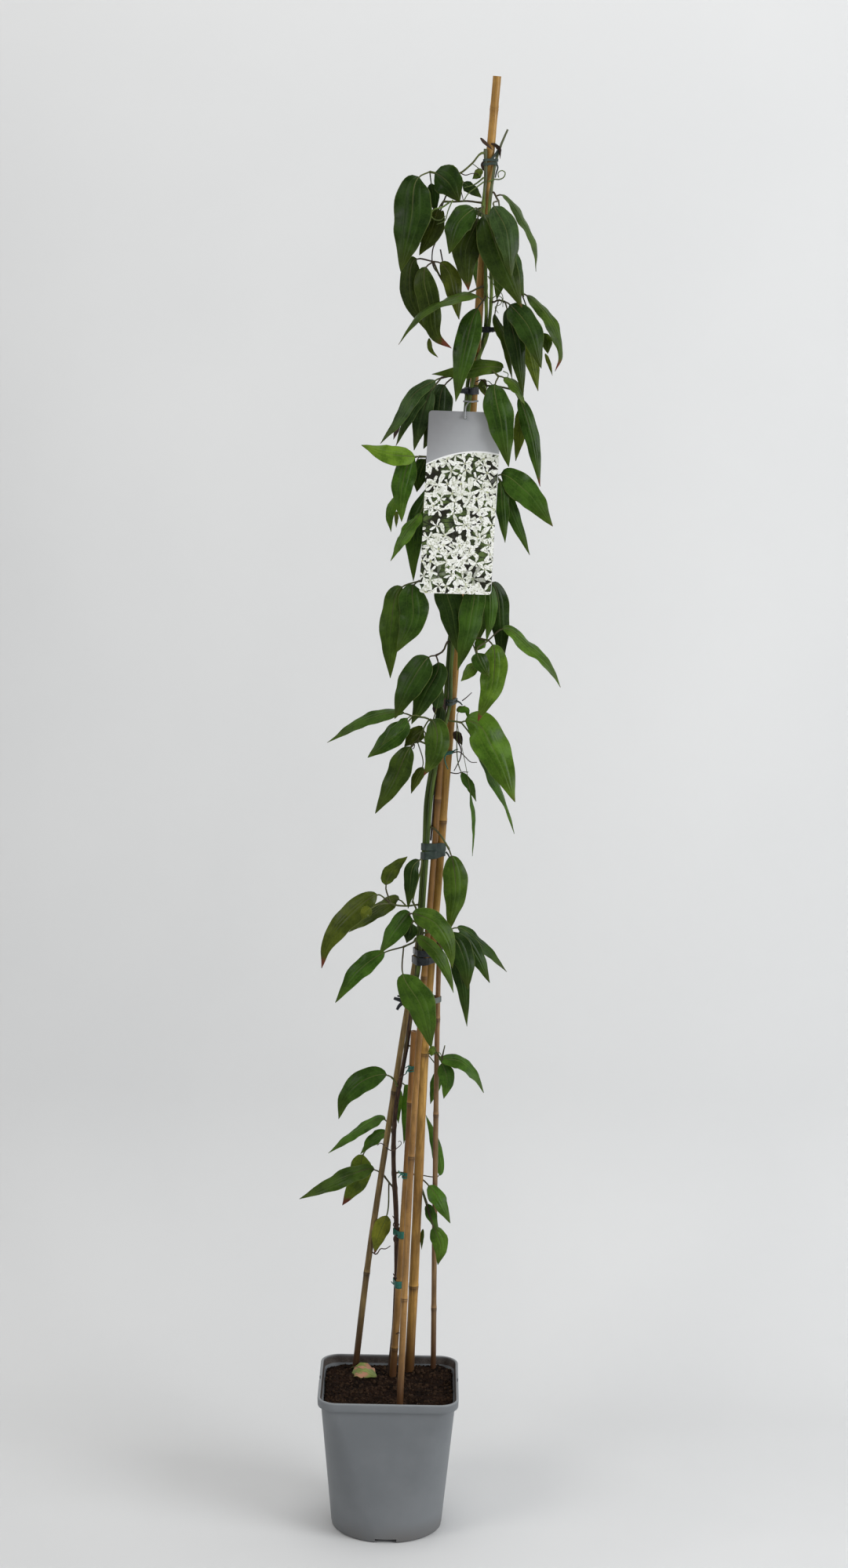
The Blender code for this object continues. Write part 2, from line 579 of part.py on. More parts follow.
# Each spray: its finish, its petiole from the shoot outwards, and its leaves
SPRAYS = {
    "spray_top_left": ("deep", [(85, -13, 1655), (70, -20, 1643), (54, -22, 1631), (40, -23, 1630), (22, -24, 1633)], [
        ([(22, -24, 1633), (10, -34, 1627), (2, -42, 1580), (-9, -44, 1520)], 44, 8),
        ([(22, -24, 1633), (28, -29, 1632), (42, -35, 1623), (57, -35, 1600)], 36, 5),
        ([(22, -24, 1633), (24, -21, 1620), (27, -20, 1604), (29, -20, 1587)], 15, 20),
        ([(70, -20, 1643), (80, -18, 1634), (76, -19, 1630), (71, -20, 1626)], 9, 0),
        ([(54, -22, 1631), (61, -21, 1622), (72, -21, 1614), (82, -22, 1605)], 15, -30),
    ]),
    "spray_top_olive": ("olive", [(85, -14, 1600), (66, -19, 1601), (50, -20, 1600), (38, -22, 1600)], [
        ([(38, -22, 1600), (33, -24, 1592), (25, -26, 1565), (12, -28, 1539)], 26, 15),
    ]),
    "spray_top_middle": ("deep", [(86, -14, 1594), (82, -22, 1592), (79, -25, 1590)], [
        ([(79, -25, 1590), (74, -46, 1593), (57, -52, 1578), (46, -54, 1541)], 30, 15),
        ([(79, -25, 1590), (78, -30, 1582), (65, -36, 1545), (69, -38, 1500)], 34, 6),
        ([(79, -25, 1590), (85, -40, 1586), (104, -46, 1540), (131, -48, 1482)], 40, -10),
    ]),
    "spray_top_right": ("grey", [(94, -14, 1612), (98, -18, 1607), (101, -22, 1602)], [
        ([(101, -22, 1602), (96, -56, 1596), (109, -62, 1574), (118, -64, 1516)], 30, -12),
        ([(98, -18, 1607), (105, -18, 1609), (114, -19, 1603), (130, -21, 1580), (144, -24, 1553), (146, -26, 1523)], 20, -62),
        ([(101, -22, 1602), (108, -26, 1560), (122, -30, 1525), (133, -32, 1494)], 22, -15),
    ]),
    "spray_upper_left": ("olive", [(89, -10, 1505), (66, -18, 1497), (48, -20, 1500), (37, -22, 1514), (28, -24, 1532)], [
        ([(28, -24, 1532), (20, -33, 1526), (25, -38, 1480), (34, -40, 1446), (51, -41, 1434)], 27, 8),
        ([(28, -24, 1532), (9, -24, 1535), (2, -26, 1495), (23, -28, 1452)], 24, 12),
        ([(28, -24, 1532), (36, -26, 1531), (45, -28, 1522), (53, -28, 1498), (59, -29, 1467)], 22, -8),
    ]),
    "spray_upper_front": ("mid", [(90, -9, 1494), (88, -16, 1491), (86, -20, 1489)], [
        ([(86, -20, 1489), (80, -27, 1480), (66, -38, 1430), (57, -42, 1373)], 29, 8),
        ([(86, -20, 1489), (80, -30, 1494), (48, -54, 1490), (9, -56, 1466), (-10, -54, 1437)], 20, 62),
    ]),
    "spray_upper_right": ("deep", [(95, -6, 1488), (104, -14, 1490), (111, -20, 1488)], [
        ([(111, -20, 1488), (117, -40, 1485), (138, -46, 1462), (155, -48, 1413)], 31, -14),
        ([(111, -20, 1488), (114, -28, 1480), (127, -32, 1430), (135, -34, 1381)], 22, -8),
        ([(104, -14, 1490), (100, -18, 1474), (112, -20, 1446), (122, -22, 1399)], 14, -40),
    ]),
    "spray_upper_far_right": ("mid", [(94, -10, 1518), (112, -16, 1504), (129, -20, 1499)], [
        ([(129, -20, 1499), (136, -20, 1496), (154, -24, 1481), (172, -26, 1452), (177, -26, 1425), (171, -25, 1410)], 22, -50),
        ([(129, -20, 1499), (130, -17, 1462), (142, -18, 1430), (152, -20, 1387)], 20, -10),
        ([(129, -20, 1499), (152, -12, 1452), (160, -14, 1443), (162, -14, 1430)], 16, -10),
    ]),
    "spray_card_right": ("mid", [(81, -11, 1422), (96, -20, 1412), (106, -26, 1403)], [
        ([(96, -20, 1412), (111, -19, 1413), (95, -23, 1414), (66, -24, 1408), (29, -25, 1404)], 19, 10),
        ([(106, -26, 1403), (102, -38, 1394), (110, -50, 1350), (120, -52, 1299)], 33, 0),
        ([(106, -26, 1403), (112, -30, 1402), (128, -33, 1390), (137, -32, 1371)], 18, -50),
    ]),
    "spray_card_far_right": ("mid", [(75, -11, 1392), (100, -14, 1392), (124, -18, 1388)], [
        ([(124, -18, 1388), (130, -23, 1379), (146, -27, 1335), (157, -28, 1277)], 19, -12),
        ([(124, -18, 1388), (133, -14, 1370), (132, -15, 1338), (128, -16, 1306)], 16, -5),
        ([(100, -14, 1392), (92, -16, 1398), (88, -17, 1394), (91, -18, 1380)], 10, 0),
    ]),
    "spray_shoulder_left": ("grey", [(70, -6, 1402), (56, -14, 1403), (40, -20, 1400)], [
        ([(40, -20, 1400), (33, -34, 1397), (10, -40, 1382), (-6, -44, 1355), (-29, -46, 1323)], 19, 30),
        ([(40, -20, 1400), (32, -26, 1390), (13, -31, 1373), (1, -33, 1350), (-11, -34, 1321)], 16, 25),
        ([(56, -14, 1403), (44, -17, 1392), (36, -21, 1355), (21, -22, 1318)], 32, 5),
        ([(40, -20, 1400), (29, -30, 1386), (17, -30, 1350), (10, -30, 1316)], 22, 10),
    ]),
    "spray_left": ("bright", [(66, -6, 1312), (46, -16, 1312), (26, -20, 1309), (16, -24, 1309)], [
        ([(16, -24, 1309), (11, -44, 1309), (-18, -52, 1311), (-51, -54, 1321)], 24, 22),
        ([(16, -24, 1309), (11, -28, 1308), (-3, -36, 1275), (-3, -38, 1233)], 27, 6),
        ([(16, -24, 1309), (-8, -23, 1263), (-17, -24, 1240), (-15, -25, 1221)], 12, 10),
        ([(26, -20, 1309), (29, -24, 1274), (13, -27, 1225), (12, -28, 1164)], 25, 0),
        ([(26, -20, 1309), (24, -15, 1306), (18, -14, 1290), (14, -14, 1268)], 22, 0),
        ([(26, -20, 1309), (19, -33, 1244), (3, -40, 1222), (-15, -44, 1187)], 20, 45),
    ]),
    "spray_right_middle": ("mid", [(69, -11, 1288), (88, -18, 1290), (106, -22, 1288)], [
        ([(106, -22, 1288), (111, -27, 1290), (140, -33, 1272), (173, -38, 1231)], 33, -16),
        ([(106, -22, 1288), (110, -30, 1282), (114, -31, 1250), (118, -32, 1211)], 17, 0),
        ([(106, -22, 1288), (112, -18, 1282), (124, -19, 1250), (137, -20, 1220), (147, -20, 1197)], 17, -10),
    ]),
    "spray_below_left": ("mid", [(59, -6, 1165), (38, -18, 1166), (18, -24, 1164)], [
        ([(18, -24, 1164), (13, -32, 1160), (12, -36, 1120), (-6, -38, 1080)], 35, 6),
        ([(18, -24, 1164), (-1, -25, 1157), (-13, -28, 1112), (-13, -30, 1049)], 30, 14),
    ]),
    "spray_below_front": ("mid", [(64, -11, 1182), (64, -20, 1178), (66, -26, 1172)], [
        ([(66, -26, 1172), (53, -28, 1166), (59, -28, 1125), (67, -26, 1078)], 33, 8),
        ([(66, -26, 1172), (80, -38, 1166), (80, -42, 1120), (66, -40, 1060)], 29, -6),
        ([(66, -26, 1172), (97, -28, 1162), (103, -29, 1128), (99, -30, 1095)], 17, -6),
        ([(66, -26, 1172), (104, -8, 1164), (115, -2, 1115), (117, -2, 1062)], 24, -8),
    ]),
    "spray_waist_right": ("bright", [(61, -11, 1102), (80, -18, 1100), (101, -22, 1096)], [
        ([(101, -22, 1096), (106, -31, 1091), (108, -38, 1052), (91, -42, 1000)], 31, 0),
        ([(101, -22, 1096), (117, -18, 1110), (149, -14, 1090), (176, -12, 1064), (187, -12, 1042)], 22, -52),
        ([(101, -22, 1096), (97, -18, 1096), (92, -18, 1092), (86, -19, 1083)], 14, 0),
        ([(101, -22, 1096), (88, -52, 1081), (95, -54, 1066), (103, -56, 1053)], 20, -10),
        ([(80, -18, 1100), (87, -23, 1069), (80, -24, 1059), (70, -24, 1047)], 15, 15),
    ]),
    "spray_waist_left": ("deep", [(57, -6, 1094), (48, -14, 1082), (40, -20, 1077)], [
        ([(40, -20, 1077), (32, -36, 1075), (10, -44, 1042), (-7, -47, 1001)], 34, 14),
        ([(40, -20, 1077), (43, -23, 1069), (29, -28, 1032), (13, -33, 995)], 30, 10),
    ]),
    "spray_left_arms": ("mid", [(47, -15, 990), (32, -17, 1002), (14, -19, 1004)], [
        ([(14, -19, 1004), (4, -18, 1008), (-40, -16, 1000), (-86, -18, 971)], 20, 50),
        ([(14, -19, 1004), (9, -22, 998), (-12, -28, 977), (-38, -32, 954)], 26, 16),
        ([(32, -17, 1002), (8, -58, 1002), (-6, -62, 988), (-22, -62, 969)], 14, 40),
    ]),
    "spray_left_lower": ("deep", [(42, -13, 966), (30, -18, 972), (20, -20, 976)], [
        ([(30, -18, 972), (28, -19, 988), (17, -20, 981), (5, -21, 968)], 19, 10),
        ([(20, -20, 976), (12, -32, 968), (-5, -38, 930), (-28, -42, 887)], 28, 12),
        ([(20, -20, 976), (27, -18, 944), (20, -18, 930), (14, -18, 912)], 13, 10),
        ([(20, -20, 976), (37, -33, 1001), (43, -40, 986), (41, -43, 960), (29, -44, 934)], 30, 0),
        ([(30, -18, 972), (42, -24, 1014), (45, -24, 1026), (49, -24, 1038)], 15, 20),
        ([(30, -18, 972), (45, -19, 996), (47, -19, 1008), (48, -19, 1020)], 12, 0),
    ]),
    "spray_right_broad": ("bright", [(57, -14, 1000), (66, -18, 999), (71, -20, 998)], [
        ([(71, -20, 998), (76, -23, 1000), (88, -30, 998), (111, -38, 965), (137, -44, 904)], 43, -12),
        ([(71, -20, 998), (82, -16, 985), (112, -20, 930), (130, -22, 890), (137, -22, 866)], 20, -62),
        ([(66, -18, 999), (68, -12, 1011), (77, -12, 1013), (79, -12, 1003)], 8, 0),
        ([(66, -18, 999), (73, -14, 938), (84, -14, 922), (91, -14, 904)], 12, -25),
        ([(66, -18, 999), (84, -20, 914), (89, -20, 880), (88, -20, 838)], 7, -50),
    ]),
    "spray_mid_left": ("olive", [(28, 0, 778), (10, -8, 776), (-8, -12, 779), (-14, -14, 784)], [
        ([(-8, -12, 779), (-14, -13, 801), (-5, -14, 820), (11, -14, 836)], 20, 20),
        ([(-14, -14, 784), (-24, -34, 789), (-57, -44, 763), (-83, -46, 726), (-89, -45, 698)], 28, 20),
        ([(-8, -12, 779), (-31, -54, 772), (-38, -56, 766), (-41, -56, 758)], 14, 0),
        ([(10, -8, 776), (2, -3, 784), (-18, 3, 774), (-57, 6, 743)], 22, 45),
    ]),
    "spray_mid_back": ("deep", [(27, -1, 764), (22, -8, 774), (18, -11, 782)], [
        ([(18, -11, 782), (25, -15, 832), (19, -19, 826), (15, -20, 800), (13, -21, 773)], 18, 5),
    ]),
    "spray_mid_front": ("mid", [(30, -6, 752), (20, -16, 758), (14, -20, 760)], [
        ([(14, -20, 760), (15, -32, 768), (-2, -38, 746), (-20, -42, 717)], 24, 16),
        ([(14, -20, 760), (18, -46, 767), (44, -52, 757), (63, -54, 728), (67, -54, 701)], 27, -18),
        ([(20, -16, 758), (18, -19, 755), (16, -20, 745), (12, -20, 731)], 19, 0),
    ]),
    "spray_mid_low": ("olive", [(30, -7, 738), (20, -18, 732), (8, -24, 726)], [
        ([(8, -24, 726), (-14, -28, 719), (-44, -36, 697), (-72, -40, 656)], 23, 18),
        ([(20, -18, 732), (24, -30, 738), (46, -34, 722), (60, -36, 700), (69, -36, 671)], 18, -30),
        ([(8, -24, 726), (8, -32, 693), (30, -40, 655), (44, -40, 602)], 37, 2),
    ]),
    "spray_wide_tie": ("mid", [(36, -5, 872), (50, -14, 862), (60, -12, 846)], [
        ([(60, -12, 846), (63, -11, 838), (69, -13, 800), (62, -14, 746)], 30, -4),
    ]),
    "spray_band_right": ("deep", [(30, -6, 742), (31, -13, 743), (42, -14, 745), (56, -14, 744)], [
        ([(56, -14, 744), (63, -17, 742), (81, -22, 712), (86, -24, 675)], 28, -6),
        ([(56, -14, 744), (64, -9, 728), (79, -11, 684), (86, -12, 630)], 18, -4),
        ([(56, -14, 744), (73, -8, 744), (95, -8, 718), (112, -8, 684)], 21, -12),
        ([(56, -14, 744), (72, -2, 751), (100, 2, 732), (121, 2, 711), (132, 2, 698)], 18, -50),
    ]),
    "spray_low_left": ("deep", [(6, 20, 554), (2, 16, 559), (-3, 14, 565)], [
        ([(-3, 14, 565), (-9, 10, 568), (-38, 4, 560), (-60, 2, 536), (-66, 2, 512)], 28, 20),
    ]),
    "spray_low_back": ("bright", [(2, 30, 505), (2, 40, 520), (4, 46, 540), (6, 46, 560)], [
        ([(6, 46, 560), (5, 49, 553), (4, 50, 533), (6, 50, 508)], 13, 0),
        ([(6, 46, 560), (13, 49, 556), (16, 52, 522), (13, 52, 483)], 15, 0),
    ]),
    "spray_low_arms": ("mid", [(0, 34, 478), (0, 44, 490), (-2, 52, 500)], [
        ([(-2, 52, 500), (-10, 58, 513), (-42, 62, 498), (-78, 64, 469)], 18, 55),
        ([(-2, 52, 500), (-8, 53, 498), (-26, 54, 487), (-39, 54, 469)], 18, 45),
        ([(-2, 52, 500), (-36, 70, 468), (-41, 72, 438), (-52, 72, 417), (-60, 72, 404)], 28, 8),
    ]),
    "spray_lowest_left": ("deep", [(3, 36, 428), (-4, 46, 434), (-10, 51, 442)], [
        ([(-10, 51, 442), (-22, 52, 450), (-48, 46, 444), (-80, 44, 428), (-112, 42, 411)], 24, 42),
        ([(-4, 46, 434), (-6, 42, 392), (-15, 40, 368), (-20, 40, 344)], 21, 5),
    ]),
    "spray_knot_right": ("mid", [(14, 14, 604), (24, 26, 600), (38, 27, 597), (46, 17, 596), (50, 12, 597)], [
        ([(50, 12, 597), (54, 8, 592), (78, 5, 587), (98, 3, 569), (108, 2, 548)], 20, -50),
        ([(50, 12, 597), (57, 13, 584), (64, 14, 562), (60, 14, 540)], 20, -10),
        ([(38, 27, 597), (52, 41, 574), (49, 43, 553), (44, 44, 533)], 14, 0),
        ([(50, 12, 597), (48, 8, 603), (45, 4, 599), (44, 3, 592)], 9, 0),
    ]),
    "spray_low_right": ("mid", [(4, 36, 446), (16, 46, 446), (30, 53, 444)], [
        ([(30, 53, 444), (44, 34, 431), (54, 25, 418), (71, 20, 384)], 21, -28),
        ([(30, 53, 444), (57, 59, 444), (55, 61, 466), (48, 61, 494), (39, 60, 519)], 14, 15),
        ([(30, 53, 444), (43, 42, 408), (49, 32, 392), (57, 27, 373)], 14, -25),
        ([(30, 53, 444), (51, 28, 379), (60, 26, 356), (57, 24, 331)], 21, -4),
    ]),
    "spray_back_top": ("deep", [(94, -12, 1562), (99, -6, 1563), (100, 8, 1566), (96, 22, 1568)], [
        ([(96, 22, 1568), (90, 34, 1566), (82, 58, 1545), (78, 74, 1505)], 30, 150),
        ([(96, 22, 1568), (100, 32, 1560), (106, 50, 1530), (102, 60, 1490)], 26, 200),
        ([(96, 22, 1568), (96, 32, 1574), (84, 48, 1588), (72, 62, 1588)], 22, 170),
    ]),
    "spray_back_card": ("mid", [(66, -5, 1310), (60, 0, 1312), (58, 12, 1316), (66, 24, 1320)], [
        ([(66, 24, 1320), (54, 32, 1316), (44, 48, 1296), (42, 60, 1252)], 30, 165),
        ([(66, 24, 1320), (79, 32, 1314), (90, 46, 1294), (93, 56, 1250)], 30, 195),
        ([(66, 24, 1320), (65, 38, 1322), (62, 66, 1321), (58, 92, 1298)], 26, 180),
    ]),
    "spray_back_middle": ("deep", [(63, -10, 1150), (68, -14, 1154), (76, -8, 1158), (76, 8, 1162), (70, 22, 1164)], [
        ([(70, 22, 1164), (60, 34, 1168), (46, 50, 1200), (42, 62, 1240)], 28, 180),
        ([(70, 22, 1164), (80, 32, 1160), (90, 52, 1130), (88, 64, 1090)], 28, 195),
        ([(70, 22, 1164), (67, 34, 1160), (62, 60, 1130), (60, 78, 1088)], 30, 170),
    ]),
}


def make_spray(name, finish, petiole, leaves, shoots, number):
    """A petiole that ends just off the nearest shoot, with its leaves joined to it."""
    places = [at(*p) for p in petiole]
    start, way, radius = min(
        (shoot.nearest(places[0]) for shoot in shoots),
        key=lambda found: (found[0] - places[0]).length,
    )
    outward = places[1] - start
    outward = (outward - way * outward.dot(way)).normalized()
    places[0] = start + outward * (radius + GAP)
    slant = abs((places[1] - places[0]).normalized().dot(way))
    places[0] += outward * PETIOLE_RADIUS * slant
    places[-1] += (places[-1] - places[-2]).normalized() * MM
    route = Route(places)
    stem = tube(name, route, lambda d: PETIOLE_RADIUS, 4, route.knots, FINISHES[finish])
    strips = []
    for k, (points, width, roll) in enumerate(leaves):
        strips.append(leaf_strip(f"{name}_{k}", points, width, roll, number + k))
    unite(stem, strips)
    drop_scraps(stem)


# Ties and card

def hull(points):
    """The corners of the smallest outline round flat points, in turn."""
    points = sorted(set(points))

    def half(row):
        chain = []
        for p in row:
            while len(chain) > 1:
                (ax, ay), (bx, by) = chain[-2], chain[-1]
                if (bx - ax) * (p[1] - ay) - (by - ay) * (p[0] - ax) > 0:
                    break
                chain.pop()
            chain.append(p)
        return chain[:-1]

    return half(points) + half(points[::-1])


class Tie:
    """A closed loop of tape laid round a cane and its neighbours at layout height z (mm)."""

    def __init__(self, name, members, z, height, thick, finish, clear=0.45 * MM):
        first = members[0]
        middle = first.route.read(first.distance_at(z))[0].z
        self.levels = (middle - height * MM / 2, middle + height * MM / 2)
        points = []
        for level in self.levels:
            for member in members:
                centre, radius = member.section(level)
                reach = (radius + clear) / math.cos(math.pi / 8)
                for k in range(8):
                    turn = math.pi / 4 * (k + 0.5)
                    points.append((centre.x + reach * math.cos(turn), centre.y + reach * math.sin(turn)))
        self.inner = thinned(hull(points), 1.2 * MM)
        self.outer = widened(self.inner, thick * MM)
        bm = bmesh.new()
        low, high = self.levels
        rings = [
            [bm.verts.new((x, y, level)) for x, y in loop]
            for loop, level in ((self.outer, low), (self.outer, high), (self.inner, high), (self.inner, low))
        ]
        skin(bm, rings + rings[:1])
        bmesh.ops.recalc_face_normals(bm, faces=bm.faces)
        self.obj = add_object(name, mesh_from(bm, name), FINISHES[finish])

    def wall_toward(self, place):
        """The middle of the tape where it comes closest to a place outside it."""
        best = None
        level = min(max(place.z, self.levels[0] + 1.5 * MM), self.levels[1] - 1.5 * MM)
        loop = [((a[0] + b[0]) / 2, (a[1] + b[1]) / 2) for a, b in zip(self.inner, self.outer)]
        for (ax, ay), (bx, by) in zip(loop, loop[1:] + loop[:1]):
            span = (bx - ax) ** 2 + (by - ay) ** 2
            t = min(max(((place.x - ax) * (bx - ax) + (place.y - ay) * (by - ay)) / span, 0), 1)
            spot = Vector((ax + (bx - ax) * t, ay + (by - ay) * t, level))
            if best is None or (spot - place).length < (best - place).length:
                best = spot
        return best

    def add_knot(self, ends, radius):
        """Short stubs from the tape outwards, joined to it."""
        stubs = []
        for end in ends:
            tip = at(*end)
            route = Route([self.wall_toward(tip), tip])
            stubs.append(tube("stub", route, lambda d: radius * MM, 6, (0, route.length)))
        unite(self.obj, stubs)


def widened(loop, width):
    """The loop pushed outwards by this width on every side."""
    count = len(loop)
    found = []
    for k in range(count):
        (ax, ay), (bx, by), (cx, cy) = loop[k - 1], loop[k], loop[(k + 1) % count]
        first = Vector((by - ay, ax - bx)).normalized()
        second = Vector((cy - by, bx - cx)).normalized()
        miter = (first + second) / (1 + first.dot(second)) * width
        found.append((bx + miter.x, by + miter.y))
    return found


def thinned(loop, least):
    """The loop with each side shorter than this taken out, its two neighbours run on to meet."""
    loop = list(loop)
    k = 0
    while k < len(loop) and len(loop) > 6:
        p, a, b, q = (loop[(k + i) % len(loop)] for i in (-1, 0, 1, 2))
        if math.dist(a, b) < least:
            dx, dy, ex, ey = a[0] - p[0], a[1] - p[1], b[0] - q[0], b[1] - q[1]
            bottom = dx * ey - dy * ex
            if bottom < -1e-12:
                t = ((q[0] - p[0]) * ey - (q[1] - p[1]) * ex) / bottom
                loop[k] = (p[0] + dx * t, p[1] + dy * t)
                loop.pop((k + 1) % len(loop))
                continue
        k += 1
    return loop


TIES = {
    "tie_top": (("main", "one", "two"), 1645, 8, 0.8, "slate", [(99, -8, 1634)], 1.3),
    "tie_upper_clip": (("main", "one", "two"), 1456, 7, 0.9, "black", [(104, -9, 1459)], 3.0),
    "tie_clip": (("main", "one", "two"), 1386, 9, 0.9, "black", [(62, -14, 1385)], 3.6),
    "tie_dark": (("main", "one", "two"), 1024, 8, 0.8, "slate", [(71, -2, 1020)], 1.6),
    "tie_teal": (("main", "front", "one", "two"), 962, 6, 0.9, "teal", [(67, -3, 965)], 1.6),
    "tie_wide": (("main", "front", "one", "two"), 845, 20, 0.9, "slate", [(60, 3, 836)], 1.5),
    "tie_band": (("main", "front", "left", "right", "one", "two"), 717, 20, 1.0, "black", [], 0),
    "tie_tape": (("main", "front", "left", "right", "one"), 662, 8, 0.8, "slate",
                 [(2, 14, 659), (-3, 15, 664)], 2.6),
    "tie_twist_a": (("short",), 577, 9, 0.9, "teal", [(15, 2, 572)], 1.6),
    "tie_twist_b": (("short",), 444, 9, 0.9, "teal", [(9, 12, 446)], 2.2),
    "tie_twist_c": (("short", "one"), 369, 9, 0.9, "teal", [(1, 30, 372)], 1.5),
    "tie_twist_d": (("short", "one"), 306, 9, 0.9, "teal", [(0, 36, 308)], 1.5),
}


def card_point(across, down, forward=0.0):
    """A place on the card: mm across from its middle and down from its top edge."""
    return at(68.5 + across - 0.035 * down, -37 - 0.05 * down - forward, 1362 - 0.012 * across - down)


def make_card():
    """A thin card with round corners and a slot near its top edge."""
    bm = bmesh.new()
    half, high, corner = CARD_WIDTH / 2 / MM, CARD_HEIGHT / MM, 4
    edge = []
    for cx, cy, start in ((-1, 1, 90), (-1, 0, 180), (1, 0, 270), (1, 1, 0)):
        for step in (0, 45, 90):
            turn = math.radians(start + step)
            x = cx * (half - corner) + corner * math.cos(turn)
            y = (high - corner if cy == 0 else corner) - corner * math.sin(turn)
            edge.append((x, y))
    faces = [[bm.verts.new(card_point(x, y, side * CARD_THICK / 2 / MM)) for x, y in edge] for side in (1, -1)]
    skin(bm, faces)
    bm.faces.new(faces[0])
    bm.faces.new(faces[1][::-1])
    bmesh.ops.recalc_face_normals(bm, faces=bm.faces)
    card = add_object("card", mesh_from(bm, "card"), FINISHES["card"], smooth=False)
    through = Route([card_point(0, 7, 10), card_point(0, 7, -10)])
    cut(card, [tube("slot", through, lambda d: CARD_HOLE, 10, (0, through.length))])


def make_card_hook(held):
    """A wire loop round the shoots and the cane, with an arm that runs down through the card's slot."""
    hook = Tie("card_hook", held, 1374, 2.2, 1.4, "clear", clear=0.3 * MM)
    over = card_point(0.5, -6, -8)
    arm = Route([
        card_point(0, 7, 3), card_point(0, 4, 2.6), card_point(0, -3, 0.5), over, hook.wall_toward(over),
    ])
    wire = tube("wire", arm, lambda d: 0.8 * MM, 6, np.linspace(0, arm.length, 11))
    pin = Route([card_point(0, 7, 4.5), card_point(0, 7, -2.5)])
    unite(hook.obj, [wire, tube("pin", pin, lambda d: CARD_HOLE - 0.3 * MM, 8, (0, pin.length))])


def make_fallen_leaf():
    """A leaf that lies on the soil, its edges down and its middle arched."""
    points = []
    for x, y, rise in ((-47, 60, 1.4), (-43, 54, 2.8), (-31, 40, 3.6), (-17, 27, 0.4)):
        points.append(Vector((x, y, rise)) * MM + Vector((0, 0, soil_height(x * MM, y * MM))))
    leaf = leaf_strip("fallen_leaf", points, 26, 86, 4)
    leaf.data.materials.append(FINISHES["bright"])


def clear_scene():
    for obj in list(bpy.data.objects):
        bpy.data.objects.remove(obj)


clear_scene()
POT_GREY = material("pot_plastic", (0.17, 0.19, 0.2), 0.55)
SOIL_BROWN = material("soil", (0.035, 0.022, 0.016), 0.95)
FINISHES = {
    "tan": material("cane_tan", (0.45, 0.28, 0.11), 0.5),
    "brown": material("cane_brown", (0.25, 0.13, 0.06), 0.6),
    "dark": material("cane_dark", (0.13, 0.09, 0.05), 0.65),
    "pink": material("cane_pink", (0.36, 0.22, 0.15), 0.6),
    "stem": material("stem", (0.09, 0.1, 0.04), 0.6),
    "deep": material("leaf_deep", (0.03, 0.07, 0.02), 0.4),
    "mid": material("leaf_mid", (0.06, 0.13, 0.03), 0.4),
    "grey": material("leaf_grey", (0.09, 0.14, 0.08), 0.4),
    "olive": material("leaf_olive", (0.13, 0.16, 0.04), 0.45),
    "bright": material("leaf_bright", (0.09, 0.2, 0.04), 0.4),
    "slate": material("tie_slate", (0.1, 0.14, 0.14), 0.5),
    "black": material("tie_black", (0.02, 0.022, 0.025), 0.35),
    "teal": material("tie_teal", (0.02, 0.13, 0.1), 0.45),
    "card": material("card", (0.6, 0.6, 0.58), 0.35),
    "clear": material("card_hook", (0.3, 0.31, 0.32), 0.3),
}

canes = {}
for cane_name, (points, low, high, joints, finish) in CANES.items():
    canes[cane_name] = Cane(cane_name, points, low, high, joints, FINISHES[finish])
    canes[cane_name].make()
shoot_one = Shoot(SHOOT_ONE, ROOT_DEPTH)
shoot_two = Shoot(SHOOT_TWO)
make_pot()
make_soil([*canes.values(), shoot_one])
unite(shoot_one.make("stem", FINISHES["stem"]), [shoot_two.make("shoot_two", None)])
for index, (spray_name, (finish, petiole, leaves)) in enumerate(SPRAYS.items()):
    make_spray(spray_name, finish, petiole, leaves, (shoot_one, shoot_two), index * 3)
members = {name.removeprefix("cane_"): cane for name, cane in canes.items()}
members |= {"one": shoot_one, "two": shoot_two}
for tie_name, (held, z, height, thick, finish, ends, radius) in TIES.items():
    tie = Tie(tie_name, [members[m] for m in held], z, height, thick, finish)
    tie.add_knot(ends, radius)
make_card()
make_card_hook([members[m] for m in ("main", "one", "two")])
make_fallen_leaf()
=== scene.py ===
# %% [markdown]
# # A climbing plant on bamboo canes, in its nursery pot
#
# A young evergreen climber is sold tied to a fan of bamboo canes that stand in a square pot.
# A plain model of it, made of simple solids, is loaded first and stays as the measure of the
# work: every finer piece below is built on the same lines, so that it takes the place of one
# of those solids and never grows past the space that they fill.

# %% Load the frame and measure it
import json
import math

import bmesh
import bpy
import numpy as np
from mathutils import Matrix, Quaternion, Vector, noise

